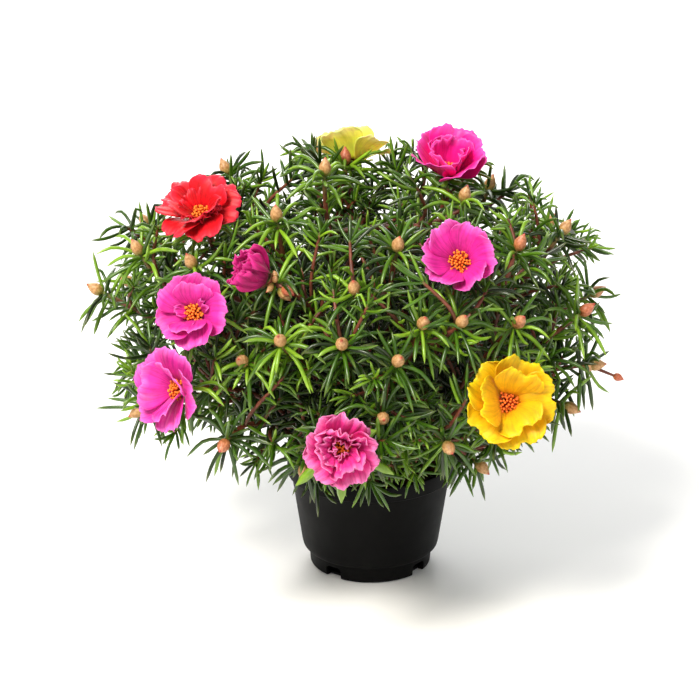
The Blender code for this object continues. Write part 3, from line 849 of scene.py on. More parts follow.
@dataclass
class Skeleton:
    """What one stem's solid is made of: the middle lines of its shoots, its leaves, buds and bloom seat."""

    shoots: list[list[Vector]] = field(default_factory=list)
    leaves: list[list[Vector]] = field(default_factory=list)
    buds: list[tuple[Vector, Vector]] = field(default_factory=list)
    seats: list[tuple[Vector, Vector]] = field(default_factory=list)

    @classmethod
    def of_solid(cls, solid: Object, blooms: bool) -> "Skeleton":
        """Reads a stem's solid: pointed ends are leaves and buds, and square rings are its shoots.

        Args:
            solid: the stem's object from the frame.
            blooms: whether it carries a bloom on a flat seat in place of a bud.

        Returns:
            The skeleton, with the main shoot first.
        """
        shape = bmesh.new()
        shape.from_mesh(solid.data)
        bmesh.ops.remove_doubles(shape, verts=shape.verts[:], dist=SAME_CORNER)
        shape.verts.index_update()
        places = [v.co.copy() for v in shape.verts]
        near = [{e.other_vert(v).index for e in v.link_edges} for v in shape.verts]
        shape.free()
        found = cls()
        used, ends = found.read_points(places, near)
        found.read_shoots(cls.chains(cls.square_rings(places, used), near))
        if blooms:
            main = found.shoots[0]
            way = (main[-1] - main[-2]).normalized()
            found.seats = [(main[-1], main[-1] + way * 4.3 * MM)]
            return found
        for middle, tip in ends:
            start = min((s[-1] for s in found.shoots), key=lambda p: (p - middle).length)
            found.buds.append((start, tip))
        return found

    def read_points(
        self, places: list[Vector], near: list[set[int]]
    ) -> tuple[set[int], list[tuple[Vector, Vector]]]:
        """Finds the solid's four-sided points, and keeps the leaves among them.

        Args:
            places: the solid's corners.
            near: for each corner, those at the other ends of its edges.

        Returns:
            The corners that are used, and the middle and tip of each bud.
        """
        used: set[int] = set()
        ends: list[tuple[Vector, Vector]] = []
        for tip, ring in enumerate(near):
            if len(ring) != 4 or any(len(near[r] & ring) != 2 for r in ring):
                continue
            middle = sum((places[r] for r in ring), Vector()) / 4
            reach = (places[tip] - middle).length
            if reach < POINT_LENGTH or max((places[r] - middle).length for r in ring) > POINT_RADIUS:
                continue
            used |= ring | {tip}
            if reach > LEAF_LENGTH:
                foot = set().union(*(near[r] for r in ring)) - ring - {tip}
                base = sum((places[f] for f in foot), Vector()) / max(1, len(foot))
                self.leaves.append([base, middle, places[tip]])
            else:
                ends.append((middle, places[tip]))
        return used, ends

    def read_shoots(self, chains: list[list[Vector]]) -> None:
        """Takes the lowest line as the main shoot, and starts the others on it.

        Args:
            chains: lines of ring middles.
        """
        main = min(chains, key=lambda c: min(p.z for p in c))
        if main[0].z > main[-1].z:
            main.reverse()
        self.shoots = [main]
        line = samples(main)
        for chain in chains:
            if chain is main:
                continue
            gap = [min((chain[i] - p).length for p in line) for i in (0, -1)]
            if gap[1] < gap[0]:
                chain.reverse()
            foot = min(line, key=lambda p: (p - chain[0]).length)
            self.shoots.append([foot, *chain])

    @staticmethod
    def square_rings(places: list[Vector], used: set[int]) -> list[tuple[set[int], Vector]]:
        """Finds the rings of four corners that a shoot's tube has.

        Args:
            places: the solid's corners.
            used: corners that belong to leaves and buds.

        Returns:
            Each ring's corners and its middle.
        """
        tree = kdtree.KDTree(len(places))
        for index, place in enumerate(places):
            if index not in used:
                tree.insert(place, index)
        tree.balance()
        shortest, longest = RING_SIDE
        found, taken = [], set()
        for index, place in enumerate(places):
            if index in used or index in taken:
                continue
            around = tree.find_range(place, longest)
            near = [(i, p - place) for p, i, d in around if d > shortest and i not in taken]
            best, error = None, RING_ERROR
            for (i, a), (j, b) in combinations(near, 2):
                skew = max(abs(a.length - b.length), abs(a.dot(b)) / a.length)
                if skew > error or not RING_RADIUS[0] < (a + b).length / 2 < RING_RADIUS[1]:
                    continue
                _, far, gap = tree.find(place + a + b)
                if max(gap, skew) < error and far not in taken:
                    best, error = ({index, i, j, far}, place + (a + b) / 2), max(gap, skew)
            if best:
                taken |= best[0]
                found.append(best)
        return found

    @staticmethod
    def chains(rings: list[tuple[set[int], Vector]], near: list[set[int]]) -> list[list[Vector]]:
        """Threads rings that share an edge into lines.

        Args:
            rings: each ring's corners and its middle.
            near: for each corner, those at the other ends of its edges.

        Returns:
            The middles along each line.
        """
        whose = {corner: n for n, (corners, _) in enumerate(rings) for corner in corners}
        links: list[set[int]] = [set() for _ in rings]
        for number, (corners, _) in enumerate(rings):
            for corner in corners:
                links[number] |= {whose[o] for o in near[corner] if o in whose} - {number}
        found, seen = [], set()
        for start in sorted(range(len(rings)), key=lambda n: (len(links[n]), rings[n][1].z)):
            if start in seen:
                continue
            line, now = [], start
            while now is not None:
                seen.add(now)
                line.append(rings[now][1])
                ahead = [n for n in links[now] if n not in seen]
                now = min(ahead, key=lambda n: (rings[n][1] - rings[now][1]).length) if ahead else None
            found.append(line)
        return found


@dataclass(frozen=True)
class Collar:
    """What stands round the foot of one bloom: sepals, and small buds.

    A bud is (offset of its tip from the stem's end in mm, length in mm, ripeness).
    """

    sepals: int = 5
    length: float = 9 * MM
    breadth: float = 1.9 * MM
    tone: float = 0.75
    kind: RodKind = RodKind.LEAF
    buds: tuple = ()


# Stems whose collar differs from the plain one, by the names of their solids
COLLARS = {
    "stem_magenta_closed_bloom": Collar(
        5, 8 * MM, 1.8 * MM, 0.3, RodKind.BUD, (((11, -9, -5), 8.5, 1.0), ((9, -4, -10), 9.5, 0.3))
    ),
    "stem_fading_bloom": Collar(7, 25 * MM, 2.9 * MM, 0.84),
    "leafy_stem_12": Collar(sepals=0, buds=(((21, -3, -8), 6.5, 1.0),)),
}


@dataclass
class Foliage:
    """Grows each stem's leaves, buds and small side shoots round its solid's skeleton."""

    crowd: Crowd
    tree: NodeTree
    skins: dict[RodKind, Material]
    step: float = 1.5 * MM
    stem_radius: float = 1.7 * MM
    twig_radius: float = 1.2 * MM
    bud_stalk_radius: float = 1.1 * MM
    bud_radius: float = 3.6 * MM
    calyx_radius: float = 3.9 * MM
    leaf_length: float = 28 * MM
    leaf_radius: float = 1.2 * MM
    leaf_gap: float = 1.7 * MM
    inner_gap: float = 1.2 * MM
    petal_gap: float = 2.2 * MM
    whorl_leaves: int = 8
    lower_start: float = 14 * MM
    leaf_spacing: float = 2.8 * MM
    leaf_tries: int = 3
    side_shoots: int = 14
    twig_tries: int = 14
    twig_lengths: tuple[float, float] = (20, 48)
    twig_gap: float = 2.2 * MM
    twig_petal_gap: float = 4 * MM
    inward_share: float = 0.35
    rosette_leaves: int = 12
    twig_leaves: int = 6
    # Where side shoots grow: from the first share of the shoot's length over the second
    side_range: tuple[float, float] = (0.28, 0.66)
    # How far out their tips may stand in the mound, as shares of its radii, below and above the crown's foot
    tip_limits: tuple[float, float] = (1.03, 1.12)
    crown_foot: float = 190 * MM
    lowest_tip: float = 62 * MM
    # Tones of leaves: on grown and on young stems, their spread, and where in the mound all are darkest with
    # painted shade
    tones: tuple[float, float] = (0.5, 0.72)
    tone_spread: float = 0.18
    painted_shade_share: float = 0.42
    young_share: float = 0.3
    fresh_share: float = 0.5

    def claim(self, skeleton: Skeleton) -> None:
        """Marks the room that a solid's own leaves, shoots and buds take.

        Args:
            skeleton: what the solid is made of.
        """
        for path in skeleton.leaves:
            self.crowd.add(samples(path)[2:])
        for path in [*skeleton.shoots, *skeleton.buds]:
            self.crowd.add(samples(path))

    def grow(self, name: str, skeleton: Skeleton, rng: random.Random) -> Object:
        """Makes one stem with everything on it.

        Args:
            name: the name of its solid.
            skeleton: what the solid is made of.
            rng: the stem's own random draws.

        Returns:
            The stem as one mesh.
        """
        young = rng.random() < self.young_share
        rods = [Rod(RodKind.STEM, s, self.stem_radius, 0.5) for s in skeleton.shoots]
        for foot, middle, tip in skeleton.leaves:
            arched = [foot, middle + UP * rng.uniform(0.2, 1.4) * MM, tip - UP * rng.uniform(0, 2.5) * MM]
            rods.append(self.leaf_rod(arched, rng, young))
        for start, tip in skeleton.buds:
            rods.append(Rod.straight(RodKind.BUD, start, tip, self.bud_radius, rng.random()))
        for start, tip in skeleton.seats:
            rods.append(Rod.straight(RodKind.CALYX, start, tip, self.calyx_radius, 0.5))
            rods += self.collar(start, tip, COLLARS.get(name, Collar()), rng)
        if name in COLLARS and not skeleton.seats:
            end = skeleton.shoots[-1][-1]
            rods += self.collar(end, end + UP * MM, COLLARS[name], rng)
        for shoot in skeleton.shoots:
            line = samples(shoot, self.step)
            whorl = (int(number * 0.8) for number in range(self.whorl_leaves))
            rods += self.leaves_down(line, whorl, (0.1, 0.9), (0.7, 1.05), 0.92, rng, young)
            lower = self.lower_places(line, rng)
            rods += self.leaves_down(line, lower, (0.2, 0.95), (0.55, 0.95), 0.88, rng, young)
        for number in range(self.side_shoots):
            share = self.side_range[0] + self.side_range[1] * (number + rng.random()) / self.side_shoots
            rods += self.side_shoot(skeleton.shoots[number % len(skeleton.shoots)], share, rng)
        return self.mesh_of(name + "_foliage", rods)

    def leaf_rod(self, path: list[Vector], rng: random.Random, young: bool, slim: float = 1.0) -> Rod:
        """A leaf along a path: yellow-green where it is young, and darker with painted shade the deeper in the
        plant it is.

        Args:
            path: the leaf's middle line.
            rng: random draws.
            young: whether its stem is young.
            slim: share of a full leaf's thickness.

        Returns:
            The leaf.
        """
        tone = rng.gauss(self.tones[young], self.tone_spread)
        # Painted shade: the deeper in the mound the leaf's tip stands, the darker its tone, down to a tenth of it
        out = mound_share(path[-1])
        tone *= min(1.0, max(0.1, (out - self.painted_shade_share) / 0.5))
        kind = RodKind.LEAF if out > DEEP_SHARE else RodKind.INNER
        return Rod(kind, path, self.leaf_radius * slim * rng.uniform(0.9, 1.08), min(1.0, max(0.0, tone)))

    def collar(self, seat: Vector, hub: Vector, plan: Collar, rng: random.Random) -> list[Rod]:
        """Sepals that hold the underside of a bloom, and the small buds beside it.

        Args:
            seat: the end of the stem.
            hub: the underside of the bloom.
            plan: what stands there.
            rng: random draws.

        Returns:
            Its rods.
        """
        axis = (hub - seat).normalized()
        side, found = axis.orthogonal().normalized(), []
        for number in range(plan.sepals):
            out = Matrix.Rotation(math.tau * number / plan.sepals + rng.uniform(-0.2, 0.2), 3, axis) @ side
            foot = seat.lerp(hub, 0.35) + out * 1.6 * MM
            # Longer where they hang, so that they show under the bloom
            reach = plan.length * rng.uniform(0.85, 1.15) * (1.2 if out.z < -0.2 else 0.75)
            end = hub - axis * 0.8 * MM + out * reach
            middle = foot.lerp(end, 0.55) - axis * 0.9 * MM
            found.append(Rod(plan.kind, [foot, middle, end], plan.breadth, plan.tone + rng.uniform(-0.08, 0.08)))
        for offset, size, ripeness in plan.buds:
            tip = seat + Vector(offset) * MM
            way = (tip - seat).normalized()
            foot = tip - way * size * MM
            stalk = [seat, seat.lerp(foot, 0.6), foot + way * MM]
            found.append(Rod(RodKind.TWIG, stalk, self.bud_stalk_radius, 0.5))
            found.append(Rod.straight(RodKind.BUD, foot, tip, 0.36 * size * MM, ripeness))
        return found

    def lower_places(self, line: list[Vector], rng: random.Random) -> Iterable[int]:
        """Spaces single leaves down the upper part of a shoot.

        Args:
            line: points along the shoot.
            rng: random draws.

        Yields:
            Each leaf's place, in points back from the shoot's end.
        """
        back = self.lower_start
        while back < 0.8 * (self.step * len(line)):
            yield int(back / self.step)
            back += self.leaf_spacing * rng.uniform(0.6, 1.4)

    def leaves_down(
        self, line: list[Vector], backs: Iterable[int], lifts: tuple[float, float], sizes: tuple[float, float],
        slim: float, rng: random.Random, young: bool,
    ) -> list[Rod]:
        """Leaves set singly down a shoot, where they have room.

        Args:
            line: points along the shoot.
            backs: where they grow, in points back from its end.
            lifts: least and most angle above square to the shoot.
            sizes: least and most share of a full leaf's length.
            slim: share of a full leaf's thickness.
            rng: random draws.
            young: whether the stem is young.

        Returns:
            The leaves.
        """
        found, spin = [], rng.uniform(0, math.tau)
        for back in backs:
            spin += GOLDEN_ANGLE
            lift, size = rng.uniform(*lifts), rng.uniform(*sizes)
            leaf = self.leaf(line, max(1, len(line) - 1 - back), spin, rng, lift, size)
            if leaf:
                found.append(self.leaf_rod(leaf, rng, young, slim))
        return found

    def leaf(
        self, line: list[Vector], index: int, spin: float, rng: random.Random, lift: float, size: float
    ) -> list[Vector] | None:
        """One leaf's path out of a shoot.

        Args:
            line: points along the shoot.
            index: the point where the leaf grows.
            spin: turn round the shoot.
            rng: random draws.
            lift: angle above square to the shoot.
            size: share of a full leaf's length.

        Returns:
            Its path from foot to tip, or None where it has no room.
        """
        at = line[index]
        axis = (line[min(index + 1, len(line) - 1)] - line[max(index - 2, 0)]).normalized()
        side = Matrix.Rotation(spin, 3, axis) @ axis.orthogonal().normalized()
        for _ in range(self.leaf_tries):
            angle = lift + rng.uniform(-0.15, 0.15)
            way = (side * math.cos(angle) + axis * math.sin(angle)).normalized()
            length = self.leaf_length * size * rng.uniform(0.85, 1.08)
            curl = rng.uniform(-0.95, 0.55)
            middle = at + way * length * 0.4
            bend = middle + (way + UP * curl * 0.5).normalized() * length * 0.3
            path = [at, middle, bend, bend + (way + UP * curl * 1.3).normalized() * length * 0.3]
            taken = samples(path)
            out = mound_share(path[-1])
            gap = self.leaf_gap if out > DEEP_SHARE else self.inner_gap
            if self.crowd.free(taken[3:], gap, self.petal_gap) and out < OUTER_SHARE:
                self.crowd.add(taken[2:])
                return path
            side = Matrix.Rotation(0.5, 3, axis) @ side
        return None

    def twig_path(self, line: list[Vector], share: float, rng: random.Random) -> list[Vector] | None:
        """A side shoot's path out of a shoot, to the outside of the mound or to its crown.

        Args:
            line: points along the shoot.
            share: about where on its length the side shoot grows.
            rng: random draws.

        Returns:
            Its path from foot to tip, or None where it has no room.
        """
        inward = rng.random() < self.inward_share
        for _ in range(self.twig_tries):
            index = max(2, min(len(line) - 2, int(len(line) * (share + rng.uniform(-0.06, 0.06)))))
            foot = line[index]
            axis = (line[min(index + 2, len(line) - 1)] - line[index - 2]).normalized()
            out = Matrix.Rotation(rng.uniform(0, math.tau), 3, axis) @ axis.orthogonal().normalized()
            pull = (CROWN - foot).normalized() if inward else mound_normal(foot) * 0.45
            way = (out * 0.9 + axis * 0.6 + UP * 0.3 + pull).normalized()
            length = rng.uniform(*self.twig_lengths) * MM
            tip = foot + way * length + UP * 4 * MM
            path = [foot, foot + (way + axis * 0.5).normalized() * length * 0.5, tip]
            taken = samples(path)
            clear = self.crowd.free(taken[3:], self.twig_gap, self.twig_petal_gap)
            highest = self.tip_limits[tip.z >= self.crown_foot]
            if clear and 0.25 < mound_share(tip) < highest and tip.z > self.lowest_tip:
                self.crowd.add(taken[3:])
                return path
        return None

    def side_shoot(self, main: list[Vector], share: float, rng: random.Random) -> list[Rod]:
        """A thin side shoot with a rosette of leaves at its end and a few below it.

        Args:
            main: the shoot that it grows on.
            share: about where on that shoot's length.
            rng: random draws.

        Returns:
            Its rods, or none where it has no room.
        """
        path = self.twig_path(samples(main, self.step), share, rng)
        if path is None:
            return []
        found = [Rod(RodKind.TWIG, path, self.twig_radius, 0.5)]
        line = samples(path, self.step)
        spin = rng.uniform(0, math.tau)
        fresh = rng.random() < self.fresh_share
        top = self.rosette_leaves
        for number in range(top + self.twig_leaves):
            in_rosette = number < top
            back = number // 2 if in_rosette else top // 2 + (number - top) * 3
            spin += GOLDEN_ANGLE
            lift = 1.15 - 0.075 * number if in_rosette else 0.5
            size = rng.uniform(0.4, 0.62) if fresh else rng.uniform(0.6, 0.9)
            leaf = self.leaf(line, max(0, len(line) - 1 - back), spin, rng, lift, size)
            if leaf:
                found.append(self.leaf_rod(leaf, rng, fresh, 0.68 if fresh else 0.85))
        return found

    def mesh_of(self, name: str, rods: list[Rod]) -> Object:
        """Turns rods into one mesh through the shoot tree.

        Args:
            name: the piece's name.
            rods: everything on the stem.

        Returns:
            The piece.
        """
        places, edges = [], []
        marks: dict[str, list[float]] = {"kind": [], "thick": [], "tone": []}
        for rod in rods:
            first = len(places)
            places += rod.points
            edges += [(first + i, first + i + 1) for i in range(len(rod.points) - 1)]
            for values, value in zip(marks.values(), (float(rod.kind.value), rod.radius, rod.tone)):
                values += [value] * len(rod.points)
        mesh = draw_mesh(name + "_paths", places, edges, [])
        for key, values in marks.items():
            mesh.attributes.new(key, "FLOAT", "POINT").data.foreach_set("value", values)
        obj = place_in_scene(name + "_paths", mesh)
        add_nodes_modifier(obj, self.tree, {f"{kind.name} skin": skin for kind, skin in self.skins.items()})
        return plain_copy(obj, name)


@dataclass(frozen=True)
class PetalEdge:
    """How far a petal's sheet waves: over its whole width, in the frill of its end and in its pleats."""

    ruffle: float
    frill: float
    pleat: float


class Openness(Enum):
    """How a bloom is open."""

    OPEN = "open"
    CUPPED = "cupped"
    FURLED = "furled"
    CRUMPLED = "crumpled"


FRESH_EDGE = PetalEdge(0.9 * MM, 0.7 * MM, 0.14 * MM)
WILTED_EDGE = PetalEdge(2.2 * MM, 1.5 * MM, 0.8 * MM)
PETALOID_EDGE = PetalEdge(1.6 * MM, 1.2 * MM, 0.6 * MM)
EDGES = {
    Openness.OPEN: FRESH_EDGE, Openness.CUPPED: FRESH_EDGE,
    Openness.FURLED: WILTED_EDGE, Openness.CRUMPLED: WILTED_EDGE,
}


@dataclass
class PetalShape:
    """The form of one petal, the same as its solid's but smooth, with a frilled edge."""

    length: float
    width: float
    lean: tuple[float, float]
    start: tuple[float, float]
    edge: PetalEdge
    notch: float
    phase: float
    across: int = 32
    along: int = 14
    roll: float = 0.22
    nibble: float = 0.02

    def outline(self, u: float, v: float) -> tuple[float, float]:
        """The petal drawn flat.

        Args:
            u: place across it, -1 to 1.
            v: place along it, 0 to 1.

        Returns:
            Half its width there, and the way from its claw.
        """
        # A narrow claw widens to a broad blade, which draws in a little before its end
        half = self.width / 2 * (0.2 + 0.8 * math.sin(min(1, 1.15 * v) * math.pi / 2) ** 1.2)
        half *= 1 - 0.12 * max(0.0, (v - 0.75) / 0.25) ** 2
        # The end is round, notched in its middle and unevenly nibbled
        end = 1 - 0.2 * abs(u) ** 3 - self.notch * math.exp(-((u / 0.3) ** 2))
        end += self.nibble * (math.sin(11.0 * u + 3.0 * self.phase) + 0.7 * math.sin(27.0 * u + self.phase))
        return half, v * end * self.length

    def point(self, u: float, v: float) -> Vector:
        """The middle of the petal's sheet.

        Args:
            u: place across it, -1 to 1.
            v: place along it, 0 to 1.

        Returns:
            The point, with the bloom's axis as +Z and the petal leaning to +X.
        """
        half, reach = self.outline(u, v)
        radial, height = self.start
        angle, count = math.radians(self.lean[0]), 8
        for i in range(count):
            share = (i + 0.5) / count * reach / self.length
            angle = math.radians(self.lean[0] + (self.lean[1] - self.lean[0]) * share)
            radial += math.sin(angle) * reach / count
            height += math.cos(angle) * reach / count
        # What lifts the sheet: a roll to one side and a cupped form, then waves that are finer and finer
        lift = self.roll * u * half + 0.25 * u * u * half * v
        lift += self.edge.ruffle * math.sin(2.3 * u + self.phase) * v * v
        lift += self.edge.frill * math.sin(8.0 * u + 2.1 * self.phase) * v**4
        lift += 0.35 * self.edge.frill * math.sin(17.0 * u + 5.0 * v + self.phase) * v**3
        lift += self.edge.pleat * math.sin(13.0 * u + 1.7 * self.phase) * v
        return Vector((radial - math.cos(angle) * lift, u * half, height + math.sin(angle) * lift))


@dataclass(frozen=True)
class BloomPlan:
    """Where one bloom stands, which way it faces, how wide it is in mm and what its petals are like.

    Layers are (petals, lean at the claw, lean at the tip), from the outside in. Petaloids are small crumpled
    petals inside them, as (petals, lean at the claw, lean at the tip, share of the bloom's radius). The notch
    in a petal's end is a share of its length.
    """

    slot: str
    place: tuple[float, float, float]
    face: tuple[float, float]
    width: float
    layers: tuple
    openness: Openness
    skin: SilkPetal
    petaloids: tuple = ()
    notch: float = 0.09


BLOOM_PLANS = {
    "red": BloomPlan(
        "petal_red", (-68, 52, 1.02), (-16, 60), 50, ((6, 40, 105), (3, 20, 62)), Openness.OPEN,
        SilkPetal(name="scarlet_petal", throat="#AC0408", body="#E4081A", frill="#F83048", vein_and_fold_shade=0.35),
        petaloids=((6, 22, 66, 0.62),), notch=0.2,
    ),
    "pink_upper": BloomPlan(
        "petal_pink", (-38, 25, 1.04), (-14, 30), 43, ((5, 38, 86), (2, 20, 60)), Openness.OPEN,
        SilkPetal(name="pink_petal", throat="#C40E76", body="#E62C9E", frill="#FA62C2"),
        petaloids=((3, 24, 56, 0.5),),
    ),
    "pink_lower": BloomPlan(
        "petal_pink", (-38, 0, 1.03), (-46, 12), 50, ((5, 38, 86), (3, 20, 60)), Openness.OPEN,
        SilkPetal(name="warm_pink_petal", throat="#C8127A", body="#F034AC", frill="#FC70CE"),
    ),
    "magenta_closed": BloomPlan(
        "petal_magenta", (-24, 40, 1.0), (-78, 30), 38, ((5, 42, -16),), Openness.FURLED,
        SilkPetal(name="wilted_magenta_petal", throat="#6E0A3A", body="#B80C66", frill="#D42484"),
        petaloids=((5, 36, -6, 0.82), (3, 14, -20, 0.7)),
    ),
    "hot_pink": BloomPlan(
        "petal_hot_pink", (104, 67, 1.02), (8, 66), 49, ((5, 38, 50), (3, 25, 22)), Openness.CUPPED,
        SilkPetal(name="deep_pink_petal", throat="#D80A74", body="#FF1498", frill="#FF50B8", vein_and_fold_shade=0.2),
        petaloids=((3, 34, 2, 0.8),),
    ),
    "pink_cup": BloomPlan(
        "petal_pink", (33, 43, 1.03), (-8, 34), 44, ((6, 36, 56),), Openness.CUPPED,
        SilkPetal(name="clear_pink_petal", throat="#C40E78", body="#E82AA0", frill="#FA6AC8"),
    ),
    "yellow": BloomPlan(
        "petal_yellow", (34, -3, 1.04), (8, 22), 53, ((5, 40, 88), (3, 24, 60)), Openness.OPEN,
        SilkPetal(name="golden_petal", throat="#CC6400", body="#F4B400", frill="#FFD400", vein_and_fold_shade=0.22),
        notch=0.16,
    ),
    "fading": BloomPlan(
        "petal_pink", (-2, -14, 1.03), (-2, 8), 45, ((5, 35, 84), (3, 24, 40)), Openness.CRUMPLED,
        SilkPetal(name="faded_pink_petal", throat="#B81264", body="#F03492", frill="#FF84C0", vein_and_fold_shade=0.35),
        petaloids=((6, 22, 50, 0.66), (4, 30, -30, 0.46)), notch=0.16,
    ),
    "yellow_back": BloomPlan(
        "petal_yellow", (179, 68, 0.98), (170, 56), 48, ((5, 40, 88), (2, 20, 50)), Openness.OPEN,
        # Paler than the golden bloom, partly in its own lemon hue and partly as painted light that brightens it
        # where it stands in shade at the back
        SilkPetal(name="lemon_petal", throat="#F4DC30", body="#FFFA5A", frill="#FFFF96", vein_and_fold_shade=0.15, glow=0.7),
        petaloids=((3, 24, 50, 0.5),),
    ),
}


@dataclass
class Bloom:
    """A bloom's petals, in layers round its hub as those of its solid are."""

    name: str
    plan: BloomPlan
    seed: int
    petal_thickness: float = 0.35 * MM

    def frame(self) -> Matrix:
        """The bloom's frame: its axis is +Z and the middle of its hub's underside the origin."""
        stand = direction(*self.plan.face).to_track_quat("Z", "Y").to_matrix().to_4x4()
        return Matrix.Translation(mound_point(*self.plan.place)) @ stand

    def petals(self) -> Object:
        """Makes all petals of the bloom as one mesh with a petal UV map.

        Returns:
            The petals, as one piece.
        """
        rng = random.Random(self.seed)
        plan, edge = self.plan, EDGES[self.plan.openness]
        places, faces, sheet = [], [], []
        for layer, (count, low, high) in enumerate(plan.layers):
            # The rule of the solids: petals that stand steep are drawn longer, and inner ones shorter
            size = (plan.width / 2 * MM - HUB_RADIUS * 0.5) * (1.18 if high < 70 else 1.05)
            size *= 0.8 if layer else 1
            for number in range(count):
                turn = math.tau * (number + 0.5 * layer) / count + rng.uniform(-0.1, 0.1)
                sway = rng.uniform(-4, 4)
                petal = PetalShape(
                    length=size * rng.uniform(0.95, 1.04), width=size * min(1.25, 6.0 / max(count, 4)),
                    lean=(low, high + sway), start=PETAL_STARTS[layer], edge=edge,
                    notch=plan.notch * (0.6 + 0.4 * layer), phase=rng.uniform(0, math.tau),
                )
                self.add_sheet(petal, turn, places, faces, sheet)
        for count, low, high, share in plan.petaloids:
            for number in range(count):
                size = plan.width / 2 * MM * share * rng.uniform(0.8, 1.1)
                petal = PetalShape(
                    length=size, width=size * rng.uniform(0.7, 1.0), lean=(low, high + rng.uniform(-12, 12)),
                    start=PETALOID_START, edge=PETALOID_EDGE, notch=plan.notch, phase=rng.uniform(0, math.tau),
                    across=16, along=9,
                )
                turn = math.tau * (number + rng.uniform(0.1, 0.9)) / count
                self.add_sheet(petal, turn, places, faces, sheet)
        return self.sheet_object(f"petals_{self.name}_silk", places, faces, sheet)

    def add_sheet(self, petal: PetalShape, turn: float, places: list, faces: list, sheet: list) -> None:
        """Adds one petal's grid to the lists.

        Args:
            petal: its form.
            turn: its turn round the bloom's axis.
            places: the petals' points.
            faces: their faces.
            sheet: each point's place on its petal's UV map.
        """
        spin = self.frame() @ Matrix.Rotation(turn, 4, "Z")
        first, row = len(places), petal.across + 1
        for j in range(petal.along + 1):
            for i in range(row):
                u, v = i / petal.across * 2 - 1, j / petal.along
                places.append(spin @ petal.point(u, v))
                sheet.append(((u + 1) / 2, v))
        for j in range(petal.along):
            for i in range(petal.across):
                a = first + j * row + i
                faces.append((a, a + 1, a + row + 1, a + row))

    def sheet_object(self, name: str, places: list, faces: list, sheet: list) -> Object:
        """Makes a thin solid from sheets.

        Args:
            name: the piece's name.
            places: the sheets' points.
            faces: their faces.
            sheet: each point's place on the UV map.

        Returns:
            The piece.
        """
        mesh = draw_mesh(name + "_sheets", places, [], faces)
        layer = mesh.uv_layers.new(name="petal")
        for loop in mesh.loops:
            layer.data[loop.index].uv = sheet[loop.vertex_index]
        dress(mesh, self.plan.skin.material())
        obj = place_in_scene(name + "_sheets", mesh)
        thick = obj.modifiers.new("Thickness", "SOLIDIFY")
        thick.thickness = self.petal_thickness
        thick.offset = 0
        return plain_copy(obj, name)


@dataclass
class StamenTuft:
    """The tuft in a bloom's middle: a small dome of filaments with pollen at their ends."""

    tree: NodeTree
    skin: Material
    filaments: int = 46
    dome: float = 2.3 * MM
    foot_height: float = 2.2 * MM
    reach: float = 5.2 * MM
    widest_lean: float = 1.25
    thickness: float = 0.34 * MM
    anther: float = 0.72 * MM

    def grow(self, name: str, frame: Matrix, rng: random.Random) -> Object:
        """Makes one bloom's tuft.

        Args:
            name: the piece's name.
            frame: the bloom's frame.
            rng: the bloom's random draws.

        Returns:
            The tuft as one mesh.
        """
        places, edges = [], []
        for number in range(self.filaments):
            share = (number + 0.5) / self.filaments
            lean = self.widest_lean * math.sqrt(share)
            turn = number * GOLDEN_ANGLE + rng.uniform(-0.2, 0.2)
            out = Vector((math.cos(turn), math.sin(turn), 0))
            way = out * math.sin(lean) + UP * math.cos(lean)
            foot = out * self.dome * share + UP * self.foot_height
            reach = self.reach * rng.uniform(0.75, 1.1) * (1 - 0.2 * share)
            end = foot + way * reach + UP * 0.8 * MM * share
            first = len(places)
            places += [frame @ foot, frame @ (foot.lerp(end, 0.5) + UP * 0.3 * MM), frame @ end]
            edges += [(first, first + 1), (first + 1, first + 2)]
        obj = place_in_scene(name + "_paths", draw_mesh(name + "_paths", places, edges, []))
        values = {"Filament radius": self.thickness, "Anther radius": self.anther, "Skin": self.skin}
        add_nodes_modifier(obj, self.tree, values)
        return plain_copy(obj, name)


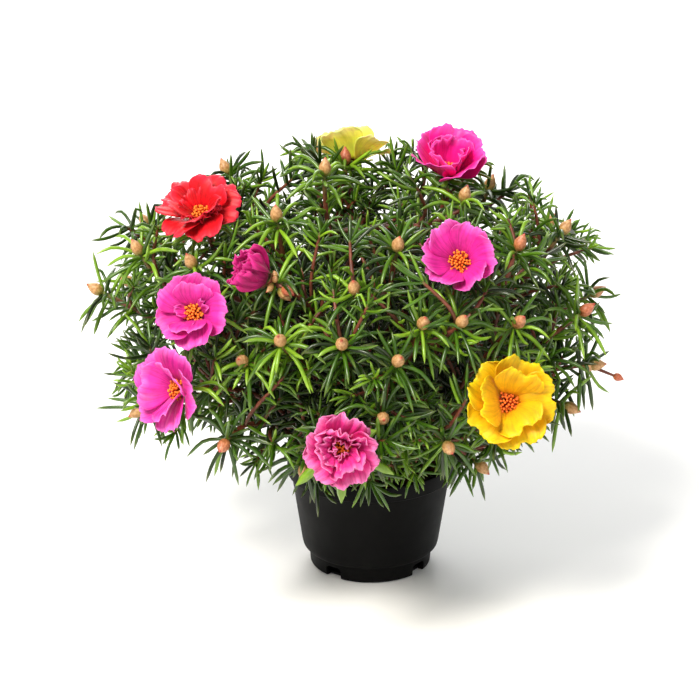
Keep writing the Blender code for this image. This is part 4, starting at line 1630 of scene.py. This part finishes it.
@dataclass
class NurseryPot:
    """The moulded pot: a foot ring with drainage notches, a rounded shoulder, a tapered wall and a rim band."""

    skin: Material
    steps: int = 160
    wall: float = 1.4 * MM
    notch_angles: tuple = (-38, 52, 142, 232)
    notch_width: float = 11 * MM
    notch_depth: float = 9 * MM
    notch_round: float = 2.5 * MM
    sharp_angle: float = 38

    def profile(self) -> list[tuple[float, float]]:
        """Draws the pot's outline.

        Returns:
            It from the middle of the base, up the outside and down the inside, as (radius, height).
        """
        top, band = POT_HEIGHT, POT_HEIGHT - RIM_BAND
        shoulder = FOOT_HEIGHT + 5 * MM
        base = [(0, 0), (FOOT_RADIUS - 1.2 * MM, 0), (FOOT_RADIUS - 0.3 * MM, 0.3 * MM), (FOOT_RADIUS, 1.1 * MM)]
        foot_and_shoulder = [
            (FOOT_RADIUS + 0.5 * MM, FOOT_HEIGHT - 1.4 * MM), (FOOT_RADIUS + 1.2 * MM, FOOT_HEIGHT),
            (FOOT_RADIUS + 3.0 * MM, FOOT_HEIGHT + 0.9 * MM), (FOOT_RADIUS + 4.3 * MM, FOOT_HEIGHT + 2.4 * MM),
            (BODY_BOTTOM_RADIUS, shoulder),
        ]
        wall_and_rim = [
            (BODY_TOP_RADIUS - 0.1 * MM, band - 0.6 * MM), (BODY_TOP_RADIUS + 0.3 * MM, band),
            (RIM_RADIUS - 1.0 * MM, band + 0.4 * MM), (RIM_RADIUS - 0.3 * MM, band + 1.0 * MM),
            (RIM_RADIUS, top - 0.9 * MM), (RIM_RADIUS - 0.3 * MM, top - 0.25 * MM), (RIM_RADIUS - 0.9 * MM, top),
        ]
        inside = [
            (RIM_RADIUS - 1.9 * MM, top), (RIM_RADIUS - 2.2 * MM, top - 0.4 * MM),
            (BODY_TOP_RADIUS - self.wall, band - 1 * MM), (BODY_BOTTOM_RADIUS - self.wall, shoulder + 0.4 * MM),
            (FOOT_RADIUS + 1 * MM, FOOT_HEIGHT + 2.4 * MM), (FOOT_RADIUS - self.wall, FOOT_HEIGHT),
            (FOOT_RADIUS - self.wall - 1 * MM, self.wall + 0.2 * MM), (0, self.wall + 0.2 * MM),
        ]
        return base + foot_and_shoulder + wall_and_rim + inside

    def build(self) -> Object:
        """Turns the outline, cuts the notches and keeps the edges crisp.

        Returns:
            The pot.
        """
        points = [(r, 0, z) for r, z in reversed(self.profile())]
        edges = [(i, i + 1) for i in range(len(points) - 1)]
        obj = place_in_scene("pot_outline", draw_mesh("pot_outline", points, edges, []))
        screw = obj.modifiers.new("Turn", "SCREW")
        screw.steps = screw.render_steps = self.steps
        screw.use_merge_vertices = True
        screw.merge_threshold = 0.01 * MM
        screw.use_normal_calculate = True
        cutters = bpy.data.collections.new("notch_tools")
        bpy.context.scene.collection.children.link(cutters)
        for number, angle in enumerate(self.notch_angles):
            cutters.objects.link(self.notch(f"notch_tool_{number}", angle))
        cut = obj.modifiers.new("Notches", "BOOLEAN")
        cut.operation, cut.operand_type, cut.collection = "DIFFERENCE", "COLLECTION", cutters
        pot = plain_copy(obj, "nursery_pot")
        for tool in list(cutters.objects):
            bpy.data.objects.remove(tool)
        bpy.data.collections.remove(cutters)
        dress(pot.data, self.skin)
        pot.data.set_sharp_from_angle(angle=math.radians(self.sharp_angle))
        return pot

    def notch(self, name: str, angle: float) -> Object:
        """Makes a rounded block that cuts one drainage notch.

        Args:
            name: the block's name.
            angle: where it stands round the foot, in degrees.

        Returns:
            The block.
        """
        shape = bmesh.new()
        block = Matrix.Diagonal((self.notch_width, self.notch_depth, self.notch_depth, 1))
        bmesh.ops.create_cube(shape, size=1, matrix=block)
        through = [e for e in shape.edges if abs((e.verts[0].co - e.verts[1].co).y) > 1 * MM]
        bmesh.ops.bevel(shape, geom=through, offset=self.notch_round, segments=5, affect="EDGES", profile=0.5)
        turn = Matrix.Rotation(math.radians(angle), 4, "Z")
        place = turn @ Matrix.Translation((0, -FOOT_RADIUS, 2.5 * MM))
        bmesh.ops.transform(shape, matrix=place, verts=shape.verts[:])
        mesh = bpy.data.meshes.new(name)
        shape.to_mesh(mesh)
        shape.free()
        return bpy.data.objects.new(name, mesh)


@dataclass
class Compost:
    """The compost that fills the pot: a lumpy closed body with crumbs on its surface."""

    skin: Material
    rings: int = 26
    sides: int = 72
    edge: float = BODY_TOP_RADIUS - 2.6 * MM
    sunk_from: float = 45 * MM
    sunk_edge: float = 1.5 * MM
    lump: float = 1.1 * MM
    lumps_per_metre: float = 220
    crumbs: int = 420
    seed: int = 11

    def build(self) -> Object:
        """Makes the body and its crumbs.

        Returns:
            The compost, as one piece.
        """
        rng = random.Random(self.seed)
        shape = bmesh.new()
        rows = [self.row(shape, self.edge * ring / self.rings) for ring in range(1, self.rings + 1)]
        centre = shape.verts.new((0, 0, self.height(0, 0)))
        rows.append(self.row(shape, BODY_BOTTOM_RADIUS - 2.4 * MM, FOOT_HEIGHT + 6 * MM))
        rows.append(self.row(shape, FOOT_RADIUS - 2.2 * MM, FOOT_HEIGHT + 4 * MM))
        under = shape.verts.new((0, 0, FOOT_HEIGHT + 3 * MM))
        for i in range(self.sides):
            j = (i + 1) % self.sides
            shape.faces.new((centre, rows[0][i], rows[0][j]))
            shape.faces.new((under, rows[-1][j], rows[-1][i]))
            for inner, outer in zip(rows, rows[1:]):
                shape.faces.new((inner[i], outer[i], outer[j], inner[j]))
        for _ in range(self.crumbs):
            self.crumb(shape, rng)
        bmesh.ops.recalc_face_normals(shape, faces=shape.faces[:])
        mesh = bpy.data.meshes.new("compost")
        shape.to_mesh(mesh)
        shape.free()
        dress(mesh, self.skin)
        return place_in_scene("compost", mesh)

    def height(self, x: float, y: float) -> float:
        """The lumpy surface's height."""
        place = Vector((x, y, 0)) * self.lumps_per_metre
        return soil_height(Vector((x, y, 0))) + self.lump * (noise.noise(place) + 0.5 * noise.noise(place * 2.7))

    def row(self, shape: bmesh.types.BMesh, radius: float, height: float | None = None) -> list[bmesh.types.BMVert]:
        """Adds a ring of points.

        Args:
            shape: the body.
            radius: the ring's radius.
            height: its height, or None for the surface, which is a little sunk at the pot's wall.

        Returns:
            The points.
        """
        found, sunk = [], self.sunk_edge if radius > self.sunk_from else 0
        for number in range(self.sides):
            a = math.tau * number / self.sides
            x, y = radius * math.cos(a), radius * math.sin(a)
            found.append(shape.verts.new((x, y, self.height(x, y) - sunk if height is None else height)))
        return found

    def crumb(self, shape: bmesh.types.BMesh, rng: random.Random) -> None:
        """Adds one uneven crumb, half sunk in the surface.

        Args:
            shape: the body.
            rng: random draws.
        """
        a, r = rng.uniform(0, math.tau), self.edge * math.sqrt(rng.random()) * 0.97
        x, y, size = r * math.cos(a), r * math.sin(a), rng.uniform(0.6, 1.7) * MM
        squash = Matrix.Diagonal((rng.uniform(0.8, 1.5), rng.uniform(0.8, 1.3), rng.uniform(0.5, 0.9), 1))
        place = Matrix.Translation((x, y, self.height(x, y))) @ Matrix.Rotation(rng.uniform(0, 3), 4, "Z")
        bmesh.ops.create_icosphere(shape, subdivisions=1, radius=size, matrix=place @ squash)


@dataclass(frozen=True)
class SoftLight:
    """A square soft light: where it stands, its side, its power, its colour and the point that it faces."""

    name: str
    at: tuple[float, float, float]
    side: float
    watts: float
    colour: str = WHITE
    aim: tuple[float, float, float] = (0, 0, 0.14)

    def build(self) -> None:
        """Puts the light in the scene."""
        data = bpy.data.lights.new(self.name, "AREA")
        data.size = self.side
        data.energy = self.watts
        data.color = linear(self.colour)[:3]
        light = place_in_scene(self.name, data)
        light.location = self.at
        light.rotation_euler = (Vector(self.at) - Vector(self.aim)).to_track_quat("Z", "Y").to_euler()


@dataclass
class Studio:
    """Plain pale floor, soft light and the camera at the photograph's view."""

    target: Vector = field(default_factory=lambda: Vector((-12.6, 0, 136.6)) * MM)
    distance: float = 1.4
    elevation: float = 20.0
    lens: float = 120.0
    sensor: float = 36.0
    floor_half: float = 6.0
    # A key light from above the front, a fill, one behind the plant, and one that lights the floor far behind it
    lights: tuple = (
        SoftLight("key", (-0.7, -0.95, 1.5), 0.6, 49, "#FFFAF0"),
        SoftLight("fill", (1.3, -1.2, 0.6), 1.4, 8),
        SoftLight("back", (0.3, 1.4, 1.2), 1.2, 14),
        SoftLight("backdrop", (-0.6, 3.4, 1.8), 2.5, 110, aim=(-0.6, 3.0, 0.0)),
    )
    sky: float = 0.3

    def build(self) -> None:
        """Puts camera, floor, lights and sky in the scene."""
        self.camera()
        self.floor()
        for light in self.lights:
            light.build()
        world = bpy.data.worlds.new("studio")
        world.use_nodes = True
        sky = world.node_tree.nodes["Background"]
        sky.inputs["Color"].default_value = linear(WHITE)
        sky.inputs["Strength"].default_value = self.sky
        bpy.context.scene.world = world
        bpy.context.scene.view_settings.view_transform = "Standard"

    def camera(self) -> None:
        """Puts the camera in front of the plant, looking a little down."""
        data = bpy.data.cameras.new("camera")
        data.lens = self.lens
        data.sensor_width = self.sensor
        camera = place_in_scene("camera", data)
        e = math.radians(self.elevation)
        camera.location = self.target + Vector((0, -math.cos(e), math.sin(e))) * self.distance
        camera.rotation_euler = (math.radians(90) - e, 0, 0)
        bpy.context.scene.camera = camera

    def floor(self) -> None:
        """Puts a wide floor of pale paper just under the pot."""
        half = self.floor_half
        corners = [(-half, -half, 0), (half, -half, 0), (half, half, 0), (-half, half, 0)]
        mesh = draw_mesh("floor", corners, [], [(0, 1, 2, 3)])
        paper, _, _ = Finish("pale_paper", roughness=0.9).start({"Base Color": linear("#FCFCFB")})
        mesh.materials.append(paper)
        floor = place_in_scene("floor", mesh)
        floor.location.z = -0.5 * MM
        floor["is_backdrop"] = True


def build_blooms(nodes: dict[str, Object], to_camera: Vector) -> list[tuple[Vector, Vector, float]]:
    """Builds each bloom's petals and stamens.

    Args:
        nodes: the frame's solids.
        to_camera: the way from the plant to the camera.

    Returns:
        What stays in view of the blooms that aren't at the back, as (middle, way to the eye, radius).
    """
    tree = tuft_tree("Stamen_tuft")
    plain = StamenTuft(tree, Pollen().material())
    red = Pollen("red_pollen", foot="#8E1A08", filament="#C8380E", anther="#E8701C")
    tufts = {"yellow": StamenTuft(tree, red.material())}
    sights = []
    for seed, (name, plan) in enumerate(BLOOM_PLANS.items()):
        bloom = Bloom(name, plan, seed)
        enrol(bloom.petals(), plan.slot, f"petals_{name}")
        if abs(plan.place[0]) < 120:
            facing = direction(*plan.face)
            middle = mound_point(*plan.place) + facing * HUB_RADIUS
            sights += [(middle, way, plan.width * 0.45 * MM) for way in (facing, to_camera)]
        if f"stamens_{name}" in nodes:
            tuft = tufts.get(name, plain)
            stamens = tuft.grow(f"stamens_{name}_tuft", bloom.frame(), random.Random(seed))
            enrol(stamens, "stamen_orange", f"stamens_{name}")
    return sights


def build_stems(nodes: dict[str, Object], sights: list[tuple[Vector, Vector, float]]) -> None:
    """Grows leaves, buds and side shoots on every stem.

    Args:
        nodes: the frame's solids.
        sights: what stays in view, as (middle, way to the eye, radius).
    """
    bark = FleshyStem().material()
    green = SucculentLeaf().material()
    skins = {
        RodKind.STEM: bark, RodKind.TWIG: bark, RodKind.LEAF: green, RodKind.INNER: green,
        RodKind.BUD: BudSkin().material(), RodKind.CALYX: FleshyStem("bloom_calyx", root="#76863E").material(),
    }
    petals = [solid for name, solid in nodes.items() if name.startswith(("petals", "stamens"))]
    foliage = Foliage(Crowd(3 * MM, petals, sights), shoot_tree("Moss_rose_shoots"), skins)
    stems = sorted(name for name in nodes if name.startswith(("leafy_stem", "stem_")))
    skeletons = {name: Skeleton.of_solid(nodes[name], name.startswith("stem_")) for name in stems}
    for skeleton in skeletons.values():
        foliage.claim(skeleton)
    for seed, (name, found) in enumerate(skeletons.items(), start=100):
        LOG.info("%s: %d shoots, %d leaves, %d buds", name, len(found.shoots), len(found.leaves), len(found.buds))
        enrol(foliage.grow(name, found, random.Random(seed)), "leaf_green", name)


def main() -> None:
    """Builds every piece in order."""
    logging.basicConfig(level=logging.INFO, format="%(message)s")
    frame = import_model()
    cad_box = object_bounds()
    studio = Studio()
    studio.build()
    enrol(NurseryPot(MouldedPotPlastic().material()).build(), "black_plastic", "pot")
    enrol(Compost(PottingCompost().material()).build(), "potting_soil", "soil")
    sights = build_blooms(frame["nodes"], direction(0, studio.elevation))
    build_stems(frame["nodes"], sights)

    boxes = {"cad": cad_box, "visual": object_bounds()}
    {key: [list(corner) for corner in box] for key, box in boxes.items()}


if __name__ == "__main__":
    main()
